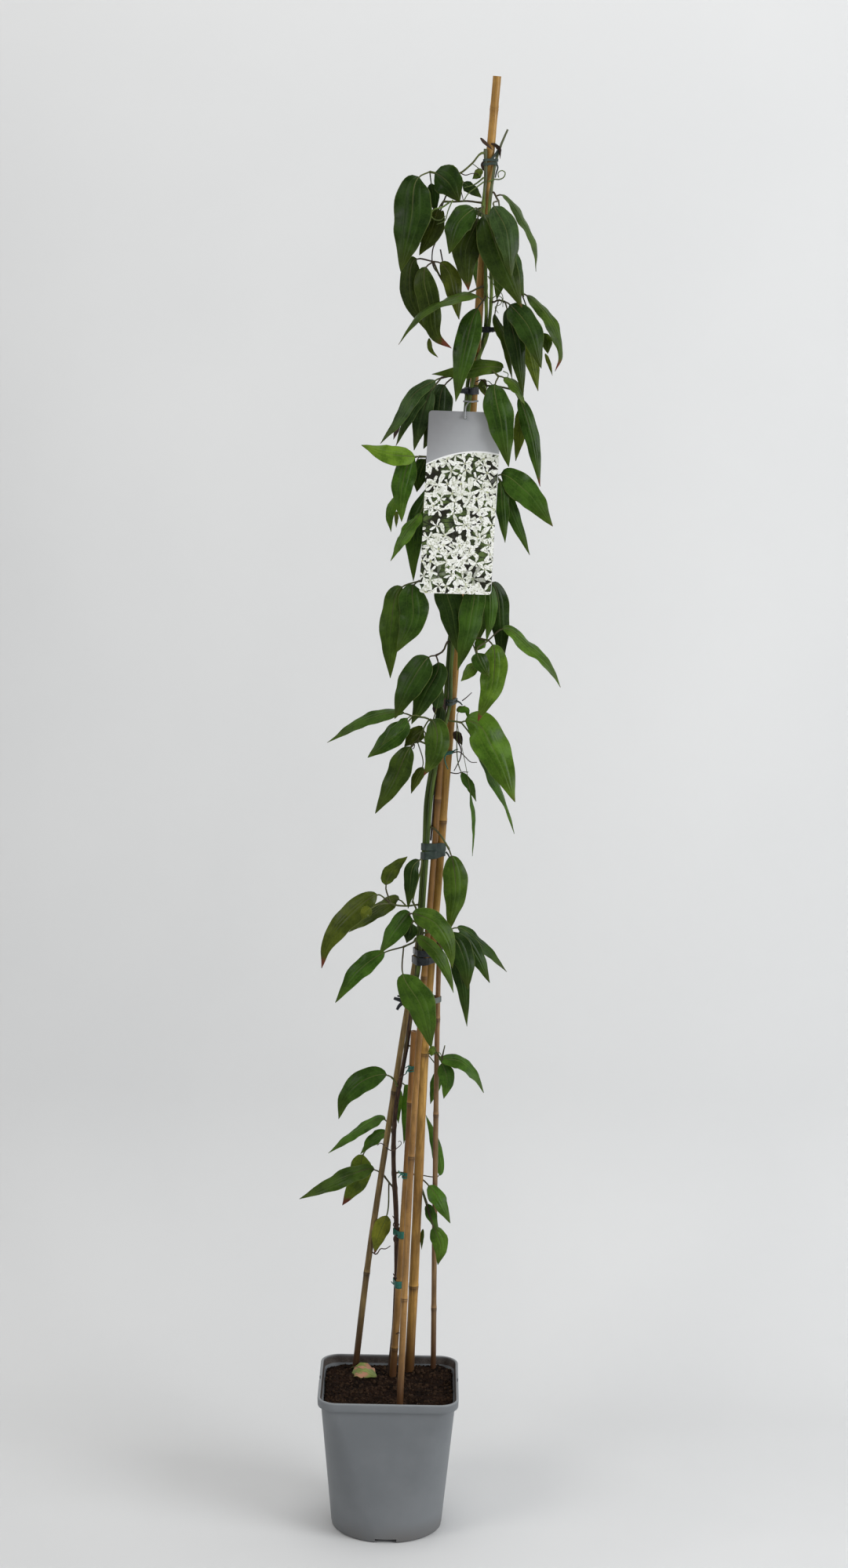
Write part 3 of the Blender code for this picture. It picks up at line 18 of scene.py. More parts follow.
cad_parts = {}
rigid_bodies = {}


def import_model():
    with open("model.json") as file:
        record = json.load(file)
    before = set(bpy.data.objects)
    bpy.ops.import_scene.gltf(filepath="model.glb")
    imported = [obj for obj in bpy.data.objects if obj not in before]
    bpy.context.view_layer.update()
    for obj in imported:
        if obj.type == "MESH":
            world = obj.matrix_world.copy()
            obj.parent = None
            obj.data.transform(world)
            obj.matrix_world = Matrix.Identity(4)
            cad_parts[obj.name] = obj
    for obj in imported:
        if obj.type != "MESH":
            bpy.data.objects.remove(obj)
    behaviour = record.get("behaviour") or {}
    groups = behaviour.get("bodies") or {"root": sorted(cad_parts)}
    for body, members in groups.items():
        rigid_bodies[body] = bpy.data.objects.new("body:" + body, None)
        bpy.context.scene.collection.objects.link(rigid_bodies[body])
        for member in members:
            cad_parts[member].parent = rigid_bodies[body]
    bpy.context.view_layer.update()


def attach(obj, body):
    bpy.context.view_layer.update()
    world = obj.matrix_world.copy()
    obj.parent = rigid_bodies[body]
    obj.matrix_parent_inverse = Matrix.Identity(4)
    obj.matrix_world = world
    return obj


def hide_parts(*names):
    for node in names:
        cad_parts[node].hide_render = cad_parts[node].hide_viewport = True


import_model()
MM = 0.001

# %% [markdown]
# The layout is written as a picture of the plant: how far left or right and how high each
# point is seen from one standpoint, and how far it lies behind or in front of the plane y = 0.
# One function turns such a point into a place in space. Working like this keeps hundreds of
# leaf points easy to compare with a drawing.

# %% From a seen point to a place in space
STANDPOINT = Vector((0.029, -3.6, 1.565))


def at(x, depth, z):
    """The place that lines up with x and z (mm) and lies depth (mm) behind y = 0."""
    flat = Vector((x, 0, z)) * MM
    return STANDPOINT + (flat - STANDPOINT) * ((depth * MM - STANDPOINT.y) / -STANDPOINT.y)


def seen_height(place):
    """The layout height, in metres, at which a place is seen."""
    return STANDPOINT.z + (place.z - STANDPOINT.z) * -STANDPOINT.y / (place.y - STANDPOINT.y)


print("a point 50 mm in front of the plane:", [round(v, 4) for v in at(100, -50, 1000)])

# %% [markdown]
# Canes, shoots, leaf stalks and the middle line of every leaf follow smooth curves through a
# few points. Blender has curve objects for that. A small class of our own is clearer here,
# because it also tells the direction of the curve at any distance, which the leaf blades need.

# %% A smooth route through points


class Route:
    """A smooth curve through points, read by the distance along the chords between them."""

    def __init__(self, points):
        self.points = np.array([tuple(p) for p in points], float)
        steps = np.linalg.norm(np.diff(self.points, axis=0), axis=1)
        self.knots = np.concatenate([[0], np.cumsum(steps)])
        self.length = self.knots[-1]
        slopes = np.diff(self.points, axis=0) / steps[:, None]
        before, after = steps[:-1, None], steps[1:, None]
        inner = (slopes[:-1] * after + slopes[1:] * before) / (before + after)
        self.tangents = np.vstack([slopes[:1], inner, slopes[-1:]])

    def read(self, distance):
        """The place and the direction at this distance."""
        distance = min(max(distance, 0), self.length)
        i = min(int(np.searchsorted(self.knots, distance, "right")) - 1, len(self.points) - 2)
        span = self.knots[i + 1] - self.knots[i]
        t = (distance - self.knots[i]) / span
        p0, p1 = self.points[i], self.points[i + 1]
        m0, m1 = self.tangents[i] * span, self.tangents[i + 1] * span
        turned, kept = 3 * t**2 - 2 * t**3, t**3 - t**2
        place = p0 + turned * (p1 - p0) + (t - t**2 + kept) * m0 + kept * m1
        way = (6 * t - 6 * t**2) * (p1 - p0) + (3 * t**2 - 4 * t + 1) * m0 + (3 * t**2 - 2 * t) * m1
        return Vector(place), Vector(way).normalized()

    def height_at(self, z, height=lambda place: place.z):
        """The distance at which a climbing route reaches this height."""
        low, high = 0.0, self.length
        for _ in range(40):
            middle = (low + high) / 2
            if height(self.read(middle)[0]) < z:
                low = middle
            else:
                high = middle
        return low


arc = Route([(0, 0, 0), (0.1, 0, 0.2), (0, 0, 0.4)])
print("a test arc of", round(arc.length, 3), "m bulges to x =", round(arc.read(arc.length / 2)[0].x, 3))

# %% [markdown]
# ## Finishes
#
# Every surface here grew or was moulded, so none has one even colour. Two effects come back in
# many of them: soft patches of a darker and a lighter shade, and fibres that run lengthwise.
# Each is a node group made once. A small helper adds a node, sets its options and fills its
# sockets, which keeps the recipes short enough to read. A value may be a number, a colour, a
# socket, or a node, which then gives its first output.

# %% Helpers that add and wire nodes
FORMS = {int: "Int", float: "Float", tuple: "Color"}


def fill(tree, socket, value):
    """Wires a socket to a node's first output or to another socket, or sets its value."""
    if isinstance(value, bpy.types.Node):
        value = value.outputs[0]
    if isinstance(value, bpy.types.NodeSocket):
        tree.links.new(value, socket)
    elif socket.type == "RGBA":
        socket.default_value = (*value, 1)
    else:
        socket.default_value = value


def feed(tree, sockets, **values):
    """Fills the sockets of these names; an underscore stands for a space."""
    for key, value in values.items():
        fill(tree, sockets[key.replace("_", " ")], value)


def node(tree, kind, values=None, **options):
    """A new node of this kind with its options set and its sockets filled."""
    made = tree.nodes.new(kind)
    for key, value in options.items():
        setattr(made, key, value)
    for key, value in (values or {}).items():
        fill(tree, made.inputs[key], value)
    return made


def new_group(name, kind, inputs, outputs):
    """A node group; a socket is given by its kind, or by the number or colour that it starts with."""
    tree = bpy.data.node_groups.new(name, kind)
    for side, sockets in (("INPUT", inputs), ("OUTPUT", outputs)):
        for label, value in sockets.items():
            form = value if isinstance(value, str) else FORMS[type(value)]
            made = tree.interface.new_socket(name=label, in_out=side, socket_type="NodeSocket" + form)
            if form != value:
                made.default_value = (*value, 1) if form == "Color" else value
    return tree, tree.nodes.new("NodeGroupInput").outputs, tree.nodes.new("NodeGroupOutput").inputs


def use_group(tree, group, **values):
    """The outputs of a group that is placed in this tree with its own values."""
    made = node(tree, "ShaderNodeGroup", node_tree=group)
    feed(tree, made.inputs, **values)
    return made.outputs


print("helpers that fill, feed, add and group nodes")

# %% Short names for the nodes that come back most


def mix(tree, share, first, second, blend="MIX"):
    """The colour between two colours."""
    values = {0: share, 6: first, 7: second}
    made = node(tree, "ShaderNodeMix", values, data_type="RGBA", blend_type=blend, clamp_factor=True)
    return made.outputs[2]


def ramp(tree, value, low, high, start=0.0, end=1.0):
    """A number that goes smoothly from start to end while value goes from low to high."""
    options = {"Value": value, "From Min": low, "From Max": high, "To Min": start, "To Max": end}
    return node(tree, "ShaderNodeMapRange", options, interpolation_type="SMOOTHSTEP")


def maths(tree, way, *values):
    return node(tree, "ShaderNodeMath", dict(enumerate(values)), operation=way)


def plus(tree, first, second):
    return maths(tree, "ADD", first, second)


def minus(tree, first, second):
    return maths(tree, "SUBTRACT", first, second)


def times(tree, first, second):
    return maths(tree, "MULTIPLY", first, second)


def vector(tree, way, first, second):
    """A sum or a product of two vectors, or a vector scaled by a number."""
    other = "Scale" if way == "SCALE" else 1
    return node(tree, "ShaderNodeVectorMath", {0: first, other: second}, operation=way)


def cloudy(tree, place, scale, detail):
    return node(tree, "ShaderNodeTexNoise", {"Vector": place, "Scale": scale, "Detail": detail})


def parts(tree, place):
    """The three numbers of a vector."""
    return node(tree, "ShaderNodeSeparateXYZ", {0: place}).outputs


def attribute(tree, name):
    return node(tree, "ShaderNodeAttribute", attribute_name=name).outputs


print("short names for mixes, ramps, sums, products and noises")

# %% [markdown]
# The first group paints soft patches. Two noises of different size are added, and their sum
# moves between a dark and a light colour. It also gives the sum itself, so that the gloss can
# follow the same patches.

# %% The patches group


def make_patches():
    tree, given, result = new_group(
        "soft_patches", "ShaderNodeTree",
        {"Place": "Vector", "Size": 20.0, "Dark": (0.1, 0.1, 0.1),
         "Light": (0.3, 0.3, 0.3), "Grit": 0.4},
        {"Colour": "Color", "Value": "Float"},
    )
    broad = cloudy(tree, given["Place"], given["Size"], 3.0)
    finer = times(tree, given["Size"], 9.0)
    grit = cloudy(tree, given["Place"], finer, 2.0)
    share = node(tree, "ShaderNodeMix", {0: given["Grit"], 2: broad, 3: grit})
    level = ramp(tree, share, 0.32, 0.68)
    feed(tree, result, Value=level)
    feed(tree, result, Colour=mix(tree, level, given["Dark"], given["Light"]))
    return tree


PATCHES = make_patches()


def patchy(tree, place, size, dark, light, grit):
    return use_group(tree, PATCHES, Place=place, Size=size, Dark=dark, Light=light, Grit=grit)


print("group", PATCHES.name, "with", len(PATCHES.nodes), "nodes")

# %% [markdown]
# The second group draws fibres: noise that is stretched along the height, as the strands in a
# bamboo cane and the bark of a climbing shoot are. Canes and shoots stand nearly upright, so
# squeezing the height of the Object coordinates is enough and needs no unwrapping.

# %% The fibres group


def make_fibres():
    tree, given, result = new_group(
        "long_fibres", "ShaderNodeTree",
        {"Place": "Vector", "Fineness": 900.0, "Stretch": 0.03},
        {"Strand": "Float", "Streak": "Float"},
    )
    squeeze = node(tree, "ShaderNodeCombineXYZ", {0: 1.0, 1: 1.0, 2: given["Stretch"]})
    place = vector(tree, "MULTIPLY", given["Place"], squeeze)
    strand = cloudy(tree, place, given["Fineness"], 2.0)
    wide = times(tree, given["Fineness"], 0.25)
    streak = cloudy(tree, place, wide, 3.0)
    feed(tree, result, Strand=ramp(tree, strand, 0.3, 0.7))
    feed(tree, result, Streak=ramp(tree, streak, 0.35, 0.68))
    return tree


FIBRES = make_fibres()
print("group", FIBRES.name, "with", len(FIBRES.nodes), "nodes")

# %% A helper that starts a material


def start_material(name, **values):
    """A material with one Principled shader: its tree, the shader's sockets, Object coordinates."""
    made = bpy.data.materials.new(name)
    made.use_nodes = True
    tree = made.node_tree
    sockets = tree.nodes["Principled BSDF"].inputs
    feed(tree, sockets, **{"Specular_IOR_Level": 0.25, **values})
    return made, tree, sockets, node(tree, "ShaderNodeTexCoord").outputs["Object"]


def raise_surface(tree, sockets, height, distance, strength):
    """Lets a height shape the shading: distance is the depth of the relief in metres."""
    bump = node(tree, "ShaderNodeBump", {"Height": height, "Distance": distance, "Strength": strength})
    feed(tree, sockets, Normal=bump)


print("materials start from a Principled shader")

# %% [markdown]
# A leathery leaf is dark and shiny above. Three veins run from its foot to its tip, the finer
# ones make a net between them, the edge is paler, and the tip often dries to brown or red.
# Each blade carries a map: across it from 0 to 1 and along it from 0 at the foot to 1 at the
# tip. In that map the veins are straight lines, so a few ramps draw them, and they bend with
# the leaf. A colour attribute tells each leaf how light it is, how yellow and how dry.

# %% The leaf group


def make_leaf_group():
    tree, given, result = new_group(
        "leaf_blade", "ShaderNodeTree",
        {"Place": "Vector", "Map": "Vector", "State": "Color",
         "Green": (0.05, 0.1, 0.03), "Vein": (0.2, 0.25, 0.1),
         "Clear": 0.5},
        {"Colour": "Color", "Roughness": "Float", "Height": "Float"},
    )
    across, along, _ = parts(tree, given["Map"])
    tone, yellow, dry = node(tree, "ShaderNodeSeparateColor", {0: given["State"]}).outputs
    out = times(tree, minus(tree, across, 0.5), 2.0)
    out = maths(tree, "ABSOLUTE", out)
    beside = maths(tree, "ABSOLUTE", minus(tree, out, 0.42))
    middle = ramp(tree, out, 0.02, 0.07, 1.0, 0.0)
    lateral = ramp(tree, beside, 0.01, 0.05, 0.7, 0.0)
    veins = maths(tree, "MAXIMUM", middle, lateral)
    stretched = vector(tree, "MULTIPLY", given["Map"], (9, 30, 1))
    net = node(tree, "ShaderNodeTexVoronoi", {"Vector": stretched, "Scale": 1.0}, feature="DISTANCE_TO_EDGE")
    net = ramp(tree, net, 0.0, 0.12, 0.45, 0.0)
    lines = times(tree, maths(tree, "MAXIMUM", veins, net), given["Clear"])
    patches = patchy(tree, given["Place"], 55.0, (0.5, 0.55, 0.45), (1.45, 1.4, 1.3), 0.25)
    shade = ramp(tree, tone, 0.0, 1.0, 0.3, 1.8)
    green = node(tree, "ShaderNodeHueSaturation", {"Value": shade, "Color": given["Green"]}).outputs[0]
    green = mix(tree, 1.0, green, patches["Colour"], "MULTIPLY")
    spread = times(tree, yellow, ramp(tree, patches["Value"], 0.0, 1.0, 0.3, 0.75))
    green = mix(tree, spread, green, (0.24, 0.23, 0.02))
    green = mix(tree, ramp(tree, along, 0.5, 1.1, 0.0, 0.5), green, (0.07, 0.085, 0.008))
    green = mix(tree, lines, green, given["Vein"])
    edge = times(tree, ramp(tree, out, 0.93, 0.985), 0.35)
    green = mix(tree, edge, green, (0.17, 0.2, 0.05))
    ragged = plus(tree, along, times(tree, patches["Value"], 0.12))
    tip = ramp(tree, plus(tree, ragged, times(tree, dry, 0.16)), 1.02, 1.12)
    tip = times(tree, tip, ramp(tree, dry, 0.0, 0.5))
    feed(tree, result, Colour=mix(tree, tip, green, (0.13, 0.035, 0.018)))
    gloss = ramp(tree, patches["Value"], 0.0, 1.0, 0.28, 0.44)
    feed(tree, result, Roughness=plus(tree, gloss, times(tree, tip, 0.25)))
    feed(tree, result, Height=minus(tree, lines, times(tree, patches["Value"], 0.5)))
    return tree


LEAF = make_leaf_group()
print("group", LEAF.name, "with", len(LEAF.nodes), "nodes")

# %% [markdown]
# One recipe then makes a pair of leaf materials: the upper side, dark and smooth, and the
# underside, paler and matt, where the veins stand out more. Five pairs cover the plant, from
# the deep green of old leaves to the fresh green of young ones.

# %% Leaf and stalk materials


def leaf_pair(name, green, vein):
    pair = []
    for side, lift, clear, depth in (("upper", 1.0, 0.32, -0.15), ("under", 1.5, 0.55, 0.3)):
        shine = 0.13 if lift == 1 else 0.05
        made, tree, sockets, place = start_material(f"{name}_{side}", Specular_IOR_Level=shine)
        marks = attribute(tree, "leaf_state")["Color"]
        chart = node(tree, "ShaderNodeUVMap", uv_map="blade")
        tint = [g * lift + (0.006 if lift > 1 else 0) for g in green]
        leaf = use_group(tree, LEAF, Place=place, Map=chart, State=marks, Green=tint,
                         Vein=[v * lift for v in vein], Clear=clear)
        feed(tree, sockets, Base_Color=leaf["Colour"])
        rough = leaf["Roughness"] if lift == 1 else plus(tree, leaf["Roughness"], 0.2)
        feed(tree, sockets, Roughness=rough)
        raise_surface(tree, sockets, leaf["Height"], abs(depth) * MM, 0.5 if depth < 0 else 0.8)
        pair.append(made)
    return pair


LEAF_GREENS = {
    "deep": ((0.014, 0.035, 0.003), (0.055, 0.09, 0.018)),
    "mid": ((0.025, 0.061, 0.005), (0.08, 0.14, 0.026)),
    "grey": ((0.027, 0.053, 0.014), (0.09, 0.14, 0.045)),
    "olive": ((0.027, 0.046, 0.004), (0.08, 0.11, 0.018)),
    "bright": ((0.04, 0.1, 0.007), (0.12, 0.19, 0.03)),
}
LEAVES = {key: leaf_pair("leaf_" + key, *colours) for key, colours in LEAF_GREENS.items()}


def stalk_material(name, dark, light):
    made, tree, sockets, place = start_material(name)
    fibres = use_group(tree, FIBRES, Place=place, Fineness=700.0, Stretch=0.3)
    patches = patchy(tree, place, 25.0, dark, light, 0.2)
    rough = ramp(tree, fibres["Strand"], 0.0, 1.0, 0.4, 0.6)
    feed(tree, sockets, Base_Color=patches["Colour"], Roughness=rough)
    raise_surface(tree, sockets, fibres["Strand"], 0.1 * MM, 0.5)
    return made


STALK = stalk_material("leaf_stalk", (0.04, 0.022, 0.014), (0.085, 0.11, 0.02))
TENDRIL = stalk_material("tendril", (0.06, 0.08, 0.02), (0.13, 0.19, 0.04))
print(len(LEAVES) * 2, "leaf materials and", STALK.name)

# %% [markdown]
# Bamboo has a hard, slightly shiny skin over straight fibres. Below each joint the skin is
# darker, above it lies a pale waxy ring. The joints are in the mesh, so an attribute named
# joint says how near a point is to one: 1 on the ridge, falling off above, negative below.

# %% Cane material


def cane_material(name, dark, light, joint_colour, tint):
    """A bamboo skin; tint is two heights, the share at each and the colour that it darkens with."""
    made, tree, sockets, place = start_material(name, Specular_IOR_Level=0.3)
    fibres = use_group(tree, FIBRES, Place=place, Fineness=1100.0, Stretch=0.02)
    patches = patchy(tree, place, 16.0, dark, light, 0.15)
    near = attribute(tree, "joint")["Fac"]
    colour = mix(tree, times(tree, fibres["Streak"], 0.45), patches["Colour"], [c * 0.5 for c in dark])
    height = parts(tree, place)[2]
    colour = mix(tree, ramp(tree, height, *tint[0]), colour, tint[1], "MULTIPLY")
    colour = mix(tree, ramp(tree, height, 0.178, 0.27, 0.85, 0.0), colour, (0.06, 0.024, 0.012))
    dirty = minus(tree, near, times(tree, fibres["Streak"], 0.3))
    colour = mix(tree, ramp(tree, dirty, -0.05, -0.9, 0.0, 0.85), colour, joint_colour)
    colour = mix(tree, ramp(tree, near, 0.1, 0.9, 0.0, 0.35), colour, [min(1, c * 1.2) for c in light])
    specks = node(tree, "ShaderNodeTexVoronoi", {"Vector": place, "Scale": 260.0})
    speck = ramp(tree, specks.outputs["Distance"], 0.1, 0.2, 0.5, 0.0)
    colour = mix(tree, speck, colour, [c * 0.4 for c in dark])
    feed(tree, sockets, Base_Color=colour, Roughness=ramp(tree, fibres["Streak"], 0.0, 1.0, 0.36, 0.56))
    raise_surface(tree, sockets, fibres["Strand"], 0.12 * MM, 0.6)
    return made


CANE_SKINS = {
    "tan": cane_material("cane_tan", (0.33, 0.172, 0.036), (0.56, 0.317, 0.074), (0.07, 0.035, 0.012),
                         ((0.45, 0.62, 1.0, 0.0), (0.9, 0.88, 0.85))),
    "straw": cane_material("cane_straw", (0.2, 0.102, 0.028), (0.36, 0.195, 0.058), (0.07, 0.035, 0.012),
                           ((0.45, 0.62, 0.0, 1.0), (0.9, 0.85, 0.7))),
    "brown": cane_material("cane_brown", (0.2, 0.1, 0.022), (0.4, 0.215, 0.055), (0.05, 0.025, 0.01),
                           ((0.38, 0.5, 0.0, 1.0), (0.6, 0.5, 0.42))),
    "dark": cane_material("cane_dark", (0.11, 0.07, 0.026), (0.3, 0.2, 0.07), (0.04, 0.025, 0.012),
                          ((0.2, 0.32, 1.0, 0.0), (0.6, 0.62, 0.7))),
    "pink": cane_material("cane_pink", (0.21, 0.11, 0.045), (0.38, 0.225, 0.1), (0.06, 0.035, 0.02),
                          ((0.5, 0.62, 1.0, 0.0), (0.66, 0.68, 0.66))),
}


def bark_material():
    """Near-black woody bark low down, green above, yellow-green near the top, withered at the tips."""
    made, tree, sockets, place = start_material("shoot_bark")
    fibres = use_group(tree, FIBRES, Place=place, Fineness=800.0, Stretch=0.05)
    height = parts(tree, place)[2]
    mottled = plus(tree, height, times(tree, fibres["Streak"], 0.12))
    bark = mix(tree, fibres["Strand"], (0.02, 0.011, 0.008), (0.075, 0.04, 0.022))
    green = mix(tree, fibres["Streak"], (0.04, 0.068, 0.011), (0.1, 0.145, 0.027))
    young = mix(tree, fibres["Streak"], (0.1, 0.15, 0.025), (0.2, 0.27, 0.055))
    colour = mix(tree, ramp(tree, mottled, 0.66, 0.82), bark, green)
    colour = mix(tree, ramp(tree, mottled, 1.42, 1.6), colour, young)
    colour = mix(tree, ramp(tree, mottled, 1.64, 1.7), colour, (0.09, 0.1, 0.05))
    feed(tree, sockets, Base_Color=colour, Roughness=ramp(tree, height, 0.6, 0.9, 0.75, 0.48))
    raise_surface(tree, sockets, fibres["Strand"], 0.3 * MM, 0.8)
    return made


BARK = bark_material()
print("skins for", len(CANE_SKINS), "kinds of cane and", BARK.name)

# %% [markdown]
# The pot is injection-moulded plastic. It looks plain, but close up it has a fine satin grain,
# cloudy patches of gloss, a paler top edge on the rim and dust of soil near the ground.

# %% Pot and soil materials


def pot_material(name, soil_and_shade=0.0):
    """Satin plastic; the last number is how far the inner wall is darkened by smears of potting mix and by
    painted shade.
    """
    made, tree, sockets, place = start_material(name)
    clouds = patchy(tree, place, 9.0, (0.155, 0.166, 0.176), (0.195, 0.206, 0.216), 0.12)
    grain = cloudy(tree, place, 2200.0, 1.0)
    height = parts(tree, place)[2]
    low = times(tree, ramp(tree, height, 0.0, 0.03, 0.5, 0.0), clouds["Value"])
    colour = mix(tree, low, clouds["Colour"], (0.12, 0.1, 0.085))
    smears_and_shade = patchy(tree, place, 90.0, (0.03, 0.02, 0.015), (0.1, 0.085, 0.075), 0.5)
    # Darker brown low on the inner wall: real smears of potting mix, and painted shade of the pot's hollow.
    colour = mix(tree, ramp(tree, height, 0.178, 0.185, soil_and_shade, soil_and_shade * 0.5), colour, smears_and_shade["Colour"])
    colour = mix(tree, ramp(tree, height, 0.1815, 0.184, 0.0, 0.45), colour, (0.33, 0.35, 0.36))
    feed(tree, sockets, Base_Color=colour, Roughness=ramp(tree, clouds["Value"], 0.0, 1.0, 0.4, 0.54))
    raise_surface(tree, sockets, grain, 0.05 * MM, 0.35)
    return made


def soil_material():
    made, tree, sockets, place = start_material("soil_mix", Roughness=0.95, Specular_IOR_Level=0.08)
    broad = patchy(tree, place, 45.0, (0.003, 0.0017, 0.0012), (0.024, 0.012, 0.007), 0.5)
    crumb = attribute(tree, "crumb")["Fac"]
    chips = node(tree, "ShaderNodeTexVoronoi", {"Vector": place, "Scale": 420.0, "Randomness": 1.0})
    pale = ramp(tree, chips.outputs["Distance"], 0.06, 0.13, 0.6, 0.0)
    colour = mix(tree, pale, broad["Colour"], (0.1, 0.055, 0.032))
    colour = mix(tree, ramp(tree, crumb, 0.5, 1.0, 0.0, 0.5), colour, (0.07, 0.042, 0.025))
    feed(tree, sockets, Base_Color=colour)
    crumbs = cloudy(tree, place, 500.0, 4.0)
    raise_surface(tree, sockets, crumbs, 1.2 * MM, 0.9)
    return made


POT_PLASTIC, POT_INSIDE = pot_material("pot_plastic"), pot_material("pot_inside", 1.0)
SOIL_MIX = soil_material()
print("materials so far:", len(bpy.data.materials))

# %% [markdown]
# ## Stems and canes: a round section that follows a path
#
# Canes, shoots, leaf stalks, tendrils and threads are all one idea: a circle drawn along a
# path, thicker here and thinner there. A Geometry Nodes tree does it once for all of them. Its
# input is a mesh of nothing but points and edges, and an attribute named radius on each point.

# %% The tree that draws a tube along a path


def make_tube_tree():
    tree, given, result = new_group(
        "tube_along_path", "GeometryNodeTree",
        {"Path": "Geometry", "Sides": 8, "Skin": "Material"}, {"Tube": "Geometry"},
    )
    curve = node(tree, "GeometryNodeMeshToCurve", {"Mesh": given["Path"]})
    ring = node(tree, "GeometryNodeCurvePrimitiveCircle", {"Resolution": given["Sides"], "Radius": 1.0})
    radius = node(tree, "GeometryNodeInputNamedAttribute", {"Name": "radius"}, data_type="FLOAT")
    values = {"Curve": curve, "Profile Curve": ring, "Scale": radius, "Fill Caps": True}
    swept = node(tree, "GeometryNodeCurveToMesh", values)
    smooth = node(tree, "GeometryNodeSetShadeSmooth", {"Geometry": swept})
    real = node(tree, "GeometryNodeRealizeInstances", {"Geometry": smooth})
    skin = node(tree, "GeometryNodeSetMaterial", {"Geometry": real, "Material": given["Skin"]})
    feed(tree, result, Tube=skin)
    return tree


TUBES = make_tube_tree()
print("tree", TUBES.name, "with inputs Path, Sides and Skin")

# %% Helpers that run a tree and keep its result as a plain mesh


def apply_tree(name, mesh, tree, **values):
    """Runs the tree on the mesh and returns the result as an object with a plain mesh."""
    carrier = bpy.data.objects.new(name + "_path", mesh)
    bpy.context.collection.objects.link(carrier)
    modifier = carrier.modifiers.new("tree", "NODES")
    modifier.node_group = tree
    for item in tree.interface.items_tree:
        if item.in_out == "INPUT" and item.name in values:
            modifier[item.identifier] = values[item.name]
    graph = bpy.context.evaluated_depsgraph_get()
    result = bpy.data.meshes.new_from_object(carrier.evaluated_get(graph))
    carrier.modifiers.remove(modifier)
    bpy.data.objects.remove(carrier)
    return add_piece(name, result)


def add_piece(name, mesh):
    made = bpy.data.objects.new(name, mesh)
    made.data.name = name
    bpy.context.collection.objects.link(made)
    return made


def add_mesh(name, bm, *skins):
    """A piece from a mesh in the making, with its materials."""
    mesh = bpy.data.meshes.new(name)
    bm.to_mesh(mesh)
    bm.free()
    for skin in skins:
        mesh.materials.append(skin)
    return add_piece(name, mesh)


def strand(route, count, radius, loss=0.0):
    """A path for the tube tree, with a radius in mm that shrinks by this share towards its end."""
    stations = np.linspace(0, route.length, count)
    widths = [radius * MM * (1 - loss * s / route.length) for s in stations]
    return [route.read(s)[0] for s in stations], widths


def tubes(name, paths, sides, skin):
    """One object with a tube for each path: its places, its radii and, on a cane, its joint values."""
    mesh = bpy.data.meshes.new(name + "_paths")
    places, edges, radii, joints = [], [], [], []
    for points, widths, *near in paths:
        first = len(places)
        places += [tuple(p) for p in points]
        edges += [(first + k, first + k + 1) for k in range(len(points) - 1)]
        radii += list(widths)
        joints += near[0] if near else [0.0] * len(points)
    mesh.from_pydata(places, edges, [])
    mesh.attributes.new("radius", "FLOAT", "POINT").data.foreach_set("value", radii)
    mesh.attributes.new("joint", "FLOAT", "POINT").data.foreach_set("value", joints)
    return apply_tree(name, mesh, TUBES, Sides=sides, Skin=skin)


def join(name, objects):
    """One object from several, with their materials, at the origin."""
    bm = bmesh.new()
    skins = []
    for obj in objects:
        before = len(bm.faces)
        bm.from_mesh(obj.data)
        bm.faces.ensure_lookup_table()
        places = []
        for skin in obj.data.materials:
            if skin not in skins:
                skins.append(skin)
            places.append(skins.index(skin))
        for face in bm.faces[before:]:
            face.material_index = places[min(face.material_index, len(places) - 1)]
    for obj in objects:
        bpy.data.objects.remove(obj)
    return add_mesh(name, bm, *skins)


PIECES = []


def keep(obj, slot, *nodes):
    """The piece rides on the body and stands for these nodes of the frame; slot is not used."""
    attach(obj, "root")
    if nodes:
        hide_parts(*nodes)
    obj.data.calc_loop_triangles()
    PIECES.append((obj.name, len(obj.data.loop_triangles)))
    return obj


trial = tubes("trial", [([(0, 0, 0), (0, 0, 0.01)], [0.001, 0.001])], 8, STALK)
print("a trial tube has", len(trial.data.polygons), "faces")
bpy.data.objects.remove(trial)

# %% [markdown]
# ## The canes
#
# A bamboo cane is a row of straight pieces. At each joint it swells into a ridge with a narrow
# scar above it, where a leaf sheath once sat, and it bends a hair. The path gets extra points
# there, and the radius follows the form of the ridge. The sawn top is hollow.

# %% Cane routes

CANE_DEPTH = 50 * MM
CANES = {
    "cane_main": (
        [(25, 60, 204), (28, 53, 304), (31.5, 38, 440), (36, 16, 609), (40.5, 12, 700),
         (46.5, 9, 790), (54, 7, 924), (62.5, 5, 1065), (77.5, 0, 1385), (91, -7, 1660), (96.5, -10, 1741)],
        5.9, 4.7, (304, 596, 880, 1180, 1429, 1705), "tan",
    ),
    "cane_short": (
        [(4.5, 40, 186), (10.5, 31, 306), (16.8, 19, 444), (23, 6, 623)],
        4.4, 4.0, (224, 534), "brown",
    ),
    "cane_front": (
        [(14, -60, 154), (21.5, -30, 440), (29, -11, 609), (34, -6, 700), (39, -4, 780),
         (43, -4, 850), (49.5, -3, 985)],
        4.0, 3.5, (287, 466, 690, 905), "tan",
    ),
    "cane_left": (
        [(-40.5, 64, 204), (-29, 54, 320), (-6, 37, 501), (8, 25, 606), (20, 15, 690), (27, 11, 742)],
        4.0, 3.4, (320, 548), "dark",
    ),
    "cane_right": (
        [(54, 64, 203), (51.5, 41, 450), (50.5, 21, 650), (50.7, 16, 700), (51, 14, 738)],
        3.3, 3.0, (276, 520, 639), "pink",
    ),
}


